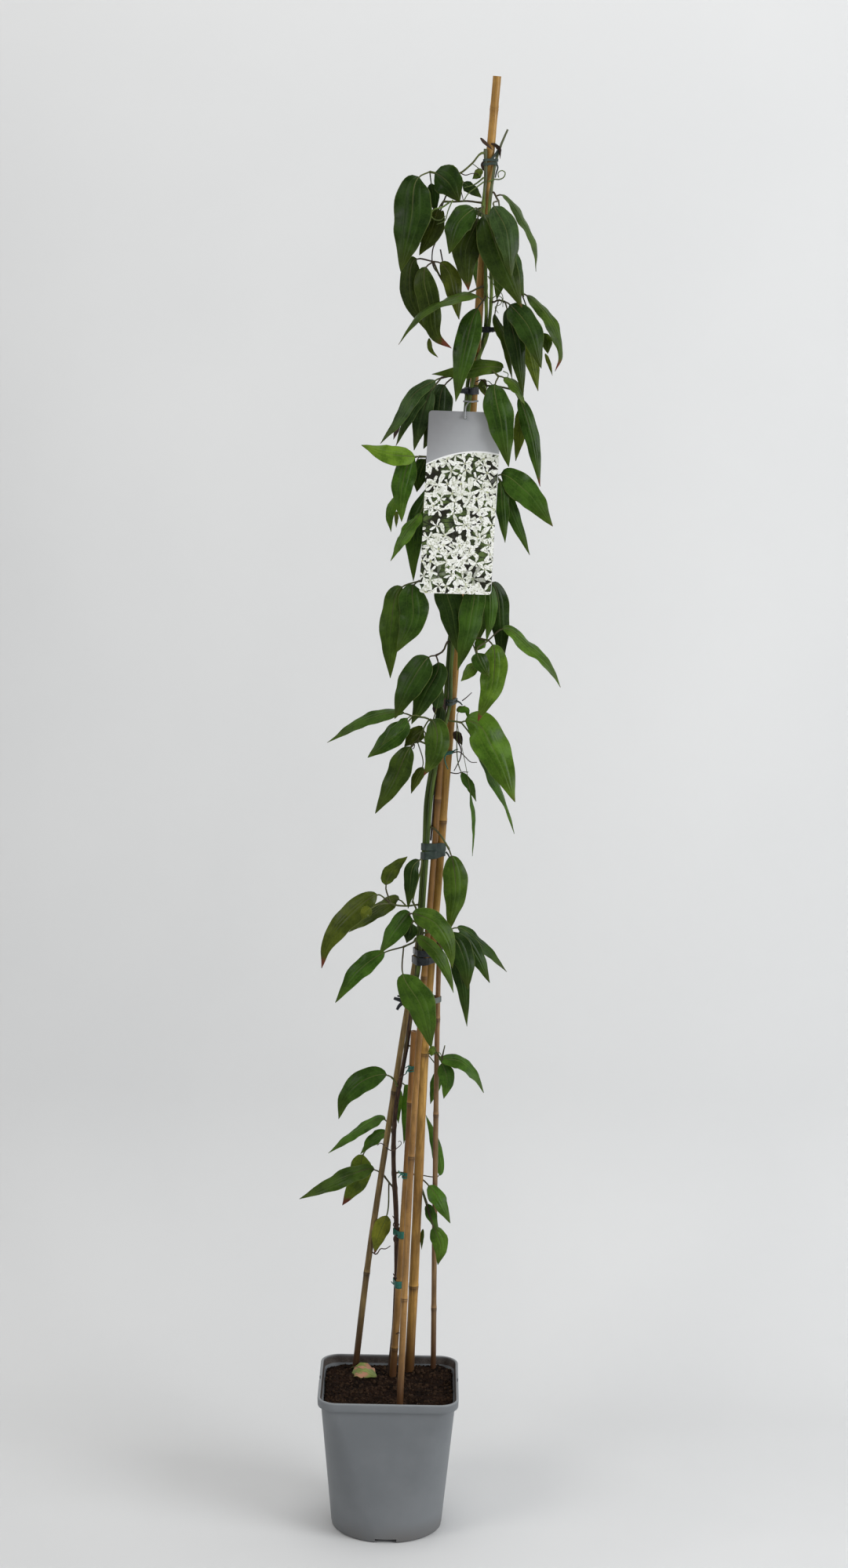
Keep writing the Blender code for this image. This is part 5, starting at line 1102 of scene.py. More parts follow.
def blade(bm, route, foot, width, roll, number, state, thin=1.0):
    """Adds the grid of one blade to the mesh; returns its midrib: places and shares of its length."""
    length = route.length - foot
    rows = int(min(max(length / (3.4 * MM), 12), 30))
    chart = bm.loops.layers.uv["blade"]
    marks = bm.verts.layers.float_color["leaf_state"]
    stated = (0.5 + 0.5 * state[0], state[1], state[2], 1.0)
    dips = vein_relief(ACROSS)
    upper, under, rib = [], [], []
    for step in range(rows + 1):
        even = step / rows
        share = 0.7 * even + 0.3 * (0.5 - 0.5 * math.cos(math.pi * even))
        place, way = route.read(foot + length * share)
        face, side = facing(way, roll)
        half = max(width * MM / 2 * outline(share), (0.9 - 0.6 * share) * MM * thin)
        broad = min(1.0, half / (6 * MM))
        ripple = 0.12 * math.sin(15 * share + 1.9 * number) + 0.06 * math.sin(34 * share + number)
        other = 0.12 * math.sin(13 * share + 2.7 * number + 2) + 0.06 * math.sin(31 * share)
        tops, lows = [], []
        for across, dip in zip(ACROSS, dips):
            out = abs(across)
            wave = (ripple if across > 0 else other) * half * out**2.5
            lean = 0.06 * half * math.sin(9 * share + 2.4 * number) * across
            quilt = 0.03 * half * math.sin(math.pi * min(out / 0.42, 1)) * broad
            level = -0.2 * half * out**1.25 + wave + lean + quilt
            thick = (0.3 - 0.2 * out**2) * MM * thin
            bulge = 0.045 * math.sin(19 * share + 2.3 * number + (2 if across > 0 else 0)) * out
            base = place + side * (across * half * (1 + bulge))
            top = base + face * (level + thick - dip * MM * broad * thin)
            low = base + face * (level - thick - 0.6 * dip * MM * broad * thin)
            tops.append(bm.verts.new(top))
            lows.append(bm.verts.new(low))
        upper.append(tops)
        under.append(lows)
        for v in tops + lows:
            v[marks] = stated
        rib.append((place - face * 0.35 * MM * thin, share))
    last = len(ACROSS) - 1
    for k in range(rows):
        v0, v1 = k / rows, (k + 1) / rows
        for j in range(last):
            u0, u1 = (ACROSS[j] + 1) / 2, (ACROSS[j + 1] + 1) / 2
            spots = [(u0, v0), (u1, v0), (u1, v1), (u0, v1)]
            for skin, side in enumerate((upper, under)):
                corners = [side[k][j], side[k][j + 1], side[k + 1][j + 1], side[k + 1][j]]
                add_face(bm, corners, spots, chart, skin, turned=skin == 1)
        for j in (0, last):
            corners = [upper[k][j], under[k][j], under[k + 1][j], upper[k + 1][j]]
            add_face(bm, corners, [((ACROSS[j] + 1) / 2, v0)] * 4, chart, 0, turned=j == 0)
    for k in (0, rows):
        for j in range(last):
            corners = [upper[k][j], upper[k][j + 1], under[k][j + 1], under[k][j]]
            add_face(bm, corners, [(0.5, k / rows)] * 4, chart, 0, turned=k == 0)
    return rib


def add_face(bm, corners, spots, chart, skin, turned):
    step = -1 if turned else 1
    face = bm.faces.new(corners[::step])
    face.material_index = skin
    face.smooth = True
    for loop, spot in zip(face.loops, spots[::step]):
        loop[chart].uv = spot


def rib_path(line, rib, steps, stalk, thick, loss):
    """A leaf's own stalk and the midrib below its blade, as one path that gets thinner (mm)."""
    places = [line.read(line.knots[1] * s / steps)[0] for s in range(steps)] + [p for p, _ in rib[1:-1]]
    return places, [stalk * MM] * steps + [max(0.12, thick - loss * share) * MM for _, share in rib[1:-1]]


print("blades are built row by row")

# %% [markdown]
# A spray is put together from its stalk, which starts inside the shoot and has a small swelling
# at each end, and from the blades with their own short stalks. Each short stalk runs on below
# its blade as the midrib and gets thinner towards the tip.

# %% One spray
shoots = {"one": shoot_one, "two": shoot_two}


def stalk_radii(count, radius):
    """A little thicker at both ends of a stalk."""
    shares = np.linspace(0, 1, count)
    return radius * (1 + 0.35 * np.exp(-((shares / 0.08) ** 2)) + 0.3 * np.exp(-(((1 - shares) / 0.08) ** 2)))


def make_spray(name, green, petiole, leaves, number):
    places = [at(*p) for p in petiole]
    nearest = [(key, *shoot.nearest(places[0])) for key, shoot in shoots.items()]
    key, start, way, radius, distance = min(nearest, key=lambda n: (n[1] - places[0]).length)
    SWELLINGS[key].append(distance)
    outward = places[1] - start
    outward = (outward - way * outward.dot(way)).normalized()
    places[0] = start + outward * radius * 0.3
    places.insert(1, start + outward * (radius + 1.2 * MM))
    route = Route(places)
    count = max(6, int(route.length / (4 * MM)))
    paths = [(strand(route, count, 1)[0], stalk_radii(count, 1.15 * MM))]
    bm = start_blades()
    # Painted light: sprays that start low on the plant get lighter leaves.
    painted_light_lift = 0.8 * min(max((0.85 - places[0].z) / 0.45, 0), 1)
    for k, (joint, points, width, roll, *state) in enumerate(leaves):
        spots = [at(*p) for p in (petiole[joint], *points)]
        spots[0] += Vector((0.11, -0.07, 0.13)) * MM * ((number + k) % 4)
        line = Route(spots)
        foot = line.knots[1]
        # A leaf's listed lightness is partly its own green and partly painted shade.
        tone, yellow, dry = state or (0, 0, 0)
        rib = blade(bm, line, foot, width, roll, number + k, (tone + painted_light_lift, yellow, dry))
        small = min(1.0, width / 18)
        steps = max(3, int(foot / (4 * MM)))
        paths.append(rib_path(line, rib, steps, 0.95 * small, 0.8 * small, 0.85 * small))
    blades = add_mesh(name + "_blades", bm, *LEAVES[FRESH.get(name, green)])
    stalks = tubes(name + "_stalks", paths, 8, STALK)
    return join(name.replace("spray_", "leaves_"), [blades, stalks])


for index, (spray_name, (green, petiole, leaves)) in enumerate(SPRAYS.items()):
    spray = make_spray(spray_name, green, petiole, leaves, index * 3)
    keep(spray, "leaf_" + green, spray_name)
print("sprays:", len(SPRAYS), "triangles:", sum(n for _, n in PIECES))

# %% [markdown]
# Now that every leaf stalk has found its place on a shoot, the shoots themselves can be drawn,
# with a swollen joint at each of those places.

# %% The stem with its joints


def shoot_path(shoot, swellings):
    """The shoot's path, with a smooth swelling round each of these distances."""
    marks = set(np.linspace(0, shoot.route.length, int(shoot.route.length / 0.008)))
    places, radii = [], []
    for distance in sorted(marks | {s + o * MM for s in swellings for o in (-4, -1.5, 1.5, 4)}):
        if not 0 <= distance <= shoot.route.length:
            continue
        swell = sum(0.45 * math.exp(-(((distance - s) / (3.5 * MM)) ** 2)) for s in set(swellings))
        places.append(shoot.route.read(distance)[0])
        radii.append(shoot.radius(distance) * (1 + 0.04 * math.sin(distance * 90)) + min(swell, 0.6) * MM)
    return places, radii


stem = tubes("climbing_stem", [shoot_path(s, SWELLINGS[k]) for k, s in shoots.items()], 16, BARK)
keep(stem, "stem", "stem")
print("stem:", PIECES[-1])

# %% [markdown]
# ## The pot
#
# The mould goes from a rounded square at the rim to a circle at the base. A real mould does it
# with flat faces that narrow downwards to a point and cones between them, so each height of the
# wall is four arcs: their centres move inwards and their radius grows towards the base.

# %% Pot sizes
POT_HEIGHT = 184 * MM
LIP_LOW = 173 * MM
RIM_HALF = 85 * MM
WALL = 1.8 * MM
TOP_HALF = 80.5 * MM
TOP_CORNER = 20 * MM
BASE_RADIUS = 67.5 * MM
FLOOR = 8 * MM
ARC_STEPS = 14
DRAIN_WIDTH = 26 * MM
DRAIN_HEIGHT = 5.5 * MM
DRAIN_INNER = 34 * MM
DRAIN_OUTER = 90 * MM
DRAIN_PLACE = 48 * MM
DRAIN_RADIUS = 4 * MM
NOTCH = Vector((1.6, 6, 2)) * MM


def four_arcs(half, corner):
    """Points of a rounded square, anticlockwise, the same number for any size."""
    points, reach = [], half - corner
    for quarter in range(4):
        turn = math.pi / 2 * quarter
        across, ahead = Vector((math.cos(turn), math.sin(turn))), Vector((-math.sin(turn), math.cos(turn)))
        middle = (across + ahead) * reach
        for step in range(ARC_STEPS + 1):
            angle = turn + math.pi / 2 * step / ARC_STEPS
            points.append(middle + Vector((math.cos(angle), math.sin(angle))) * corner)
        last = points[-1]
        points += [last - across * 2 * reach * share for share in (0.25, 0.5, 0.75)]
    return points


def wall_level(z, inset=0.0):
    share = z / LIP_LOW
    half = BASE_RADIUS + (TOP_HALF - BASE_RADIUS) * share
    corner = BASE_RADIUS + (TOP_CORNER - BASE_RADIUS) * share
    return [(p.x, p.y, z) for p in four_arcs(half - inset, corner - inset)]


def rim_level(z, half):
    return [(p.x, p.y, z) for p in four_arcs(half, TOP_CORNER + half - TOP_HALF)]


print("points round the pot:", len(four_arcs(1, 0.5)))

# %% The pot's shell, cut by its drain channels, holes and notches


def block(name, low, high):
    """A cutter with straight sides."""
    bm = bmesh.new()
    bmesh.ops.create_cube(bm, size=1)
    for v in bm.verts:
        v.co = Vector(low) + Vector([(c + 0.5) * (b - a) for c, a, b in zip(v.co, low, high)])
    return add_mesh(name, bm)


def take_out(obj, cutters):
    """Cuts these shapes out of the piece and removes them."""
    for cutter in cutters:
        hole = obj.modifiers.new("hole", "BOOLEAN")
        hole.operation = "DIFFERENCE"
        hole.object = cutter
    graph = bpy.context.evaluated_depsgraph_get()
    result = bpy.data.meshes.new_from_object(obj.evaluated_get(graph))
    obj.modifiers.clear()
    obj.data = result
    for cutter in cutters:
        bpy.data.objects.remove(cutter)


def loft(name, levels, skin):
    """A closed shell through rings of equal count, capped at both ends."""
    bm = bmesh.new()
    rings = [[bm.verts.new(p) for p in level] for level in levels]
    count = len(rings[0])
    for low, high in zip(rings[:-1], rings[1:]):
        for k in range(count):
            bm.faces.new((low[k], low[(k + 1) % count], high[(k + 1) % count], high[k]))
    bm.faces.new(rings[0][::-1])
    bm.faces.new(rings[-1])
    bmesh.ops.recalc_face_normals(bm, faces=bm.faces)
    return add_mesh(name, bm, skin)


low_ring = wall_level(0)
# The rounded lip: the height and the half width of each ring, outside and then inside
LIP = [
    (172.6 * MM, TOP_HALF + 0.4 * MM), (173 * MM, TOP_HALF + 1.4 * MM), (173.1 * MM, RIM_HALF - 1.6 * MM),
    (173.6 * MM, RIM_HALF - 0.7 * MM), (174.8 * MM, RIM_HALF - 0.3 * MM), (182.6 * MM, RIM_HALF),
    (183.6 * MM, RIM_HALF - 0.5 * MM), (184 * MM, RIM_HALF - 1.3 * MM), (183.9 * MM, RIM_HALF - 2.4 * MM),
    (183.2 * MM, RIM_HALF - 3.2 * MM), (180 * MM, RIM_HALF - 3.6 * MM), (174 * MM, TOP_HALF - 0.2 * MM),
]
pot = loft("nursery_pot", [
    [(x * 0.955, y * 0.955, 0) for x, y, _ in low_ring],
    [(x * 0.978, y * 0.978, 0.3 * MM) for x, y, _ in low_ring],
    [(x * 0.994, y * 0.994, z) for x, y, z in wall_level(1.2 * MM)],
    *[wall_level(z * MM) for z in (3, 20, 45, 70, 95, 120, 145, 165, 171.6)],
    *[rim_level(z, half) for z, half in LIP],
    *[wall_level(z * MM, WALL) for z in (170, 145, 120, 95, 70, 45, 20)],
    wall_level(FLOOR, WALL),
], POT_PLASTIC)
cutters = []
for turn in range(4):
    outward = Vector((round(math.sin(math.pi / 2 * turn)), -round(math.cos(math.pi / 2 * turn)), 0))
    across = Vector((-outward.y, outward.x, 0)) * DRAIN_WIDTH / 2
    ends = [outward * DRAIN_INNER - across, outward * DRAIN_OUTER + across]
    low = [min(e[i] for e in ends) for i in (0, 1)] + [-0.01]
    high = [max(e[i] for e in ends) for i in (0, 1)] + [DRAIN_HEIGHT]
    cutters.append(block("channel", low, high))
    hole = [outward * DRAIN_PLACE + Vector((0, 0, z)) for z in (-0.01, 0.03)]
    cutters.append(tubes("drain", [(hole, [DRAIN_RADIUS] * 2)], 20, POT_PLASTIC))
for side in (-1, 1):
    edge = Vector((side * RIM_HALF, 2 * MM, POT_HEIGHT - 2.5 * MM))
    cutters.append(block("notch", edge - NOTCH, edge + NOTCH + Vector((0, 0, 3 * MM))))
take_out(pot, cutters)
pot.data.materials.clear()
for skin in (POT_PLASTIC, POT_INSIDE):
    pot.data.materials.append(skin)
for face in pot.data.polygons:
    inward = -face.normal.xy.dot(face.center.xy)
    face.material_index = 1 if inward > 0.02 and face.center.z > LIP_LOW else 0
pot.data.shade_smooth()
pot.data.set_sharp_from_angle(angle=math.radians(38))
keep(pot, "pot_plastic", "pot")
print("pot:", PIECES[-1])

# %% [markdown]
# ## The soil
#
# The potting mix is a low heap of crumbs. Its body is a closed solid with a bumpy top. Loose
# crumbs and chips of bark are scattered on that top by a Geometry Nodes tree, which puts a few
# thousand small lumps on the faces, each turned and sized at random from a fixed seed.

# %% The bumpy top of the soil
SOIL_TOP = 172 * MM


def soil_height(x, y):
    """Low humps, a little higher towards the back right."""
    hump = 1.6 * math.sin(x * 62 + 1.0) * math.cos(y * 71 - 0.6)
    grit = 0.8 * math.sin(x * 190 + y * 140) + 0.7 * math.cos(x * 120 - y * 210 + 2)
    return SOIL_TOP + (hump + grit + 8 * x + 14 * y) * MM


def crumbly(x, y):
    """The same height with lumps of a few millimetres."""
    spot = Vector((x, y, 0))
    lumps = noise.noise(spot * 150) * 2.2 + noise.noise(spot * 420) * 1.3
    return soil_height(x, y) + lumps * MM


def make_soil():
    inset = WALL + 0.35 * MM
    edge = wall_level(0.164, inset)
    tops = []
    for share in np.linspace(0.02, 0.985, 34):
        tops.append([(x * share, y * share, crumbly(x * share, y * share)) for x, y, _ in edge])
    lower = [wall_level(z, inset) for z in (0.164, 0.12, 0.06, 0.00835)]
    sides = [[(x, y, 0.168) for x, y, _ in edge], *lower]
    body = loft("soil_body", tops + sides, SOIL_MIX)
    body.data.shade_smooth()
    return body


soil = make_soil()
print("soil body:", len(soil.data.polygons), "faces")

# %% The tree that scatters crumbs


def make_crumb_tree():
    tree, given, result = new_group(
        "crumbs_on_a_surface", "GeometryNodeTree",
        {"Ground": "Geometry", "Per square metre": 75000.0, "Smallest": 0.5, "Largest": 3.0, "Length": 1.0,
         "Seed": 3, "Skin": "Material"},
        {"Crumbs": "Geometry"},
    )

    def drawn(low, high, form="FLOAT_VECTOR"):
        """A value drawn between two limits for each crumb."""
        first = 0 if form == "FLOAT_VECTOR" else 2
        values = {first: low, first + 1: high, "Seed": given["Seed"]}
        return node(tree, "FunctionNodeRandomValue", values, data_type=form).outputs[first // 2]

    up = parts(tree, node(tree, "GeometryNodeInputNormal"))[2]
    level = parts(tree, node(tree, "GeometryNodeInputPosition"))[2]
    flat = node(tree, "FunctionNodeCompare", {0: up, 1: 0.4}, operation="GREATER_THAN")
    high = node(tree, "FunctionNodeCompare", {0: level, 1: 0.1675}, operation="GREATER_THAN")
    top = node(tree, "FunctionNodeBooleanMath", {0: flat, 1: high}, operation="AND")
    values = {"Mesh": given["Ground"], "Selection": top,
              "Density": given["Per square metre"], "Seed": given["Seed"]}
    spots = node(tree, "GeometryNodeDistributePointsOnFaces", values)
    ball = node(tree, "GeometryNodeMeshIcoSphere", {"Radius": 1.0, "Subdivisions": 1})
    rotation = node(tree, "FunctionNodeEulerToRotation", {0: drawn((0, 0, 0), (6.3, 6.3, 6.3))})
    long = node(tree, "ShaderNodeCombineXYZ", {0: given["Length"], 1: 1.0, 2: 1.0})
    form = vector(tree, "MULTIPLY", drawn((0.5, 0.5, 0.4), (1.1, 1.0, 0.8)), long)
    scaled = vector(tree, "SCALE", form, drawn(given["Smallest"], given["Largest"], "FLOAT"))
    metres = vector(tree, "SCALE", scaled, MM)
    values = {"Points": spots, "Instance": ball, "Rotation": rotation, "Scale": metres}
    crumbs = node(tree, "GeometryNodeInstanceOnPoints", values)
    values = {"Geometry": crumbs, "Name": "crumb", "Value": drawn(0.0, 1.0, "FLOAT")}
    toned = node(tree, "GeometryNodeStoreNamedAttribute", values, data_type="FLOAT", domain="INSTANCE")
    real = node(tree, "GeometryNodeRealizeInstances", {"Geometry": toned})
    skinned = node(tree, "GeometryNodeSetMaterial", {"Geometry": real, "Material": given["Skin"]})
    feed(tree, result, Crumbs=skinned)
    return tree


CRUMBS = make_crumb_tree()
crumbs = apply_tree("crumbs", soil.data.copy(), CRUMBS, Skin=SOIL_MIX)
chips = apply_tree("chips", soil.data.copy(), CRUMBS, Skin=CANE_SKINS["dark"], Seed=8, Length=3.5,
                   Smallest=0.3, Largest=0.9, **{"Per square metre": 6000.0})
print("crumbs:", len(crumbs.data.polygons) // 20, "chips:", len(chips.data.polygons) // 20)
soil = join("potting_mix", [soil, crumbs, chips])
keep(soil, "soil", "soil")

# %% [markdown]
# ## The ties
#
# Plastic tape, wire and twist ties hold the shoots to the canes. Pulled tight, a tie lies on
# the outside of everything it holds, so its line is the smallest outline round a few circles.
# The band is swept along that line with rounded edges, and it slants and waves a little.

# %% The line of a tie


def hull(points):
    """The corners of the smallest outline round flat points, anticlockwise."""
    points = sorted(set(points))

    def half(row):
        chain = []
        for p in row:
            while len(chain) > 1:
                (ax, ay), (bx, by) = chain[-2], chain[-1]
                if (bx - ax) * (p[1] - ay) - (by - ay) * (p[0] - ax) > 0:
                    break
                chain.pop()
            chain.append(p)
        return chain[:-1]

    return half(points) + half(points[::-1])


def tie_line(held, z, clear, count=72):
    """Evenly spaced points round the held members at height z, and their outward directions."""
    points = []
    for member in held:
        centre, radius = member.section(z)
        reach = radius + clear
        for turn in [2 * math.pi * k / 40 for k in range(40)]:
            x, y = centre.x + reach * math.cos(turn), centre.y + reach * math.sin(turn)
            points.append((round(x, 6), round(y, 6)))
    loop = hull(points)
    loop.append(loop[0])
    marks = np.concatenate([[0], np.cumsum([math.dist(a, b) for a, b in zip(loop[:-1], loop[1:])])])
    spots = []
    for d in np.linspace(0, marks[-1], count, endpoint=False):
        x, y = (np.interp(d, marks, [p[axis] for p in loop]) for axis in (0, 1))
        spots.append(Vector((x, y, z)))
    outs = []
    for k in range(count):
        along = (spots[(k + 1) % count] - spots[k - 1]).normalized()
        outs.append(Vector((along.y, -along.x, 0)))
    return spots, outs


print("a tie round the main cane is", len(tie_line([canes["cane_main"]], 1.0, MM)[0]), "points long")

# %% Sweeping a band along the line


def band(name, held, z, height, thick, skin, slant=0.0, clear=0.45, phase=0.0):
    """A closed band with rounded edges; slant (mm) is how much it climbs from side to side."""
    spots, outs = tie_line(held, z, clear * MM)
    high, deep = height / 2 * MM, thick * MM
    section = [(0, -0.8), (0.25, -0.97), (0.6, -1), (0.95, -0.9), (1.0, -0.6), (0.93, 0), (1.0, 0.6),
               (0.95, 0.9), (0.6, 1), (0.25, 0.97), (0, 0.8)]
    bm = bmesh.new()
    rings = []
    for k, (spot, out) in enumerate(zip(spots, outs)):
        turn = 2 * math.pi * k / len(spots)
        climb = (slant * math.sin(turn + phase) + 0.25 * math.sin(3 * turn + phase * 2)) * MM
        squeeze = 1 - 0.08 * math.sin(2 * turn + phase)
        rings.append([
            bm.verts.new(spot + out * across * deep + Vector((0, 0, up * high * squeeze + climb)))
            for across, up in section
        ])
    sides = len(section)
    for ring, ahead in zip(rings, rings[1:] + rings[:1]):
        for j in range(sides):
            bm.faces.new((ring[j], ring[(j + 1) % sides], ahead[(j + 1) % sides], ahead[j]))
    bmesh.ops.recalc_face_normals(bm, faces=bm.faces)
    for face in bm.faces:
        face.smooth = True
    return add_mesh(name, bm, skin)


def tape_material(name, dark, light, rough):
    """Soft plastic with fine scratches and a few dull patches."""
    made, tree, sockets, place = start_material(name)
    patches = patchy(tree, place, 120.0, dark, light, 0.3)
    wear = ramp(tree, patches["Value"], 0.0, 1.0, rough - 0.1, rough + 0.12)
    feed(tree, sockets, Base_Color=patches["Colour"], Roughness=wear)
    raise_surface(tree, sockets, patches["Value"], 0.15 * MM, 0.4)
    return made


TAPES = {
    "slate": tape_material("tie_slate", (0.017, 0.028, 0.023), (0.046, 0.065, 0.053), 0.5),
    "pale": tape_material("tie_pale", (0.09, 0.11, 0.1), (0.17, 0.19, 0.17), 0.5),
    "black": tape_material("tie_black", (0.012, 0.014, 0.016), (0.03, 0.034, 0.038), 0.34),
    "teal": tape_material("tie_teal", (0.008, 0.07, 0.05), (0.028, 0.15, 0.11), 0.42),
}
print("tapes:", list(TAPES))

# %% [markdown]
# The ties are listed by what they hold, their height and their finish. Most end in a knot, a
# bow or a twisted pair of wires. Those ends are short paths for the tube tree, and the wide
# tapes go round twice, the second time slanting over the first.

# %% Every tie: members, height, band height, thickness, finish, wraps as (rise, height, slant)
UPPER = ("main", "one", "two")
LOWER = ("main", "front", "one", "two")
THREE_TURNS = [(2.4, 1.8, 0.5), (0, 1.8, -0.5), (-2.6, 1.8, 0.4)]
TIES = {
    "tie_top": (UPPER, 1645, 0.8, "slate", [(1.5, 3.2, 1.0), (-2.0, 3.0, -0.8)]),
    "tie_upper_clip": (UPPER, 1456, 0.9, "black", [(0, 6.4, 0.2)]),
    "tie_clip": (UPPER, 1386, 0.9, "black", [(0, 8.2, 0.2)]),
    "tie_dark": (UPPER, 1024, 0.8, "slate", [(1.6, 3.2, 0.8), (-1.8, 3.2, -0.7)]),
    "tie_teal": (LOWER, 962, 0.9, "teal", [(1.5, 1.6, 0.6), (-1.2, 1.6, -0.8), (0.2, 1.4, 1.2)]),
    "tie_wide": (LOWER, 845, 0.9, "slate", [(4.2, 9.0, 2.0), (-4.6, 9.0, -1.8)]),
    "tie_band": ((*LOWER, "left", "right"), 717, 1.0, "black", [(5.0, 8.0, 1.2), (-4.4, 9.0, -1.2)]),
    "tie_tape": (("main", "front", "left", "right", "one"), 662, 0.8, "slate", [(0, 7.4, 0.3)]),
    "tie_twist_a": (("short",), 577, 0.9, "teal", THREE_TURNS),
    "tie_twist_b": (("short",), 444, 0.9, "teal", THREE_TURNS),
    "tie_twist_c": (("short", "one"), 369, 0.9, "teal", [(-0.3, 8.6, 0.2)]),
    "tie_twist_d": (("short", "one"), 306, 0.9, "teal", [(-0.3, 8.6, 0.2)]),
}
# The loose ends of each tie: paths in layout points, and the radius of the strand in mm
ENDS = {
    "tie_top": [([(97, -10, 1645), (99.5, -11, 1640), (98, -9, 1633), (97, -7, 1628)], 1.1),
                ([(92, -13, 1648), (98, -12, 1656), (100, -11, 1662), (95, -12, 1666)], 1.6)],
    "tie_upper_clip": [([(97, -7, 1456), (102, -10, 1457), (107, -9, 1459)], 3.2)],
    "tie_clip": [([(70, -13, 1386), (65, -15, 1385.5), (60, -14, 1385)], 3.6)],
    "tie_dark": [([(65, -10, 1024), (69, -7, 1022), (72, -2, 1019)], 1.2)],
    "tie_teal": [([(62, -12, 963), (65, -8, 965), (68, -3, 966)], 1.0),
                 ([(57, -14, 962), (53, -16, 957), (54, -16, 949), (57, -15, 942)], 0.9)],
    "tie_wide": [([(57, -6, 842), (60, -1, 838), (61, 3, 834)], 1.2)],
    "tie_tape": [([(11, 14, 659), (5, 13, 661), (-2, 14, 663)], 2.9),
                 ([(9, 14, 658), (4, 15, 653), (2, 15, 649)], 2.6),
                 ([(11, 14, 662), (6, 15, 665), (2, 15, 666)], 1.6)],
    "tie_twist_a": [([(20, 3, 577), (15, 1, 573), (14, 1, 570)], 1.0),
                    ([(20, 3, 578), (16, 1, 579), (13, 1, 577)], 0.8)],
    "tie_twist_b": [([(13, 14, 444), (9, 12, 446), (7, 12, 449)], 1.1),
                    ([(13, 14, 445), (9, 12, 443), (7, 12, 440)], 0.9)],
    "tie_twist_c": [([(6, 26, 369), (3, 28, 370), (2, 28, 372)], 0.8)],
    "tie_twist_d": [([(5, 33, 306), (2, 34, 307), (1, 35, 309)], 0.8)],
}


def tie_level(held, z):
    """The height at which the cane that is held first is seen at layout height z (mm)."""
    route = members[held[0]].route
    return route.read(route.height_at(z * MM, seen_height))[0].z


def make_tie(name, held, z, thick, finish, wraps):
    """A tie's wraps and its loose ends, as one piece."""
    skin, loose = TAPES[finish], TAPES[finish]
    if name == "tie_tape":
        skin, loose = TAPES["pale"], TAPES["black"]
    holders, level, pieces = [members[m] for m in held], tie_level(held, z), []
    for number, (rise, height, slant) in enumerate(wraps):
        middle, turn = level + rise * MM, number * 2.1
        wrap = band(f"{name}_{number}", holders, middle, height, thick, skin, slant, 0.45, turn)
        pieces.append(wrap)
    for number, (points, radius) in enumerate(ENDS.get(name, [])):
        path = strand(Route([at(*p) for p in points]), 10, radius, 0.35)
        pieces.append(tubes(f"{name}_end{number}", [path], 10, loose))
    return join("band_" + name.removeprefix("tie_"), pieces)


for name, (held, z, thick, finish, wraps) in TIES.items():
    keep(make_tie(name, held, z, thick, finish, wraps), "tie_" + finish, name)
print("ties:", len(TIES))

# %% [markdown]
# ## The plant card
#
# A long printed card hangs in front of the canes. Its upper part is plain grey, below a pale
# arc it shows white star-shaped blossoms over dark leaves. The print is made with maths: a cell
# pattern gives each blossom a middle, the angle round it folds a petal outline, and four such
# layers lie over each other, warped by a noise so that no two petals are alike. The card has its
# own map in centimetres, so the print stays sharp.

# %% Where the card hangs
CARD_WIDTH, CARD_HEIGHT, CARD_THICK = 84, 212, 0.8
CARD_HOLE, HOLE_DOWN, CORNER = 2.0, 7, 4.0


def card_point(across, down, forward=0.0):
    """A place on the card: mm across from its middle and down from its top edge."""
    return at(68.5 + across - 0.035 * down, -37 - 0.05 * down - forward, 1362 - 0.012 * across - down)


print("card corners:", [tuple(round(v, 3) for v in card_point(x, y)) for x, y in ((-42, 0), (42, 212))])

# %% The blossom group


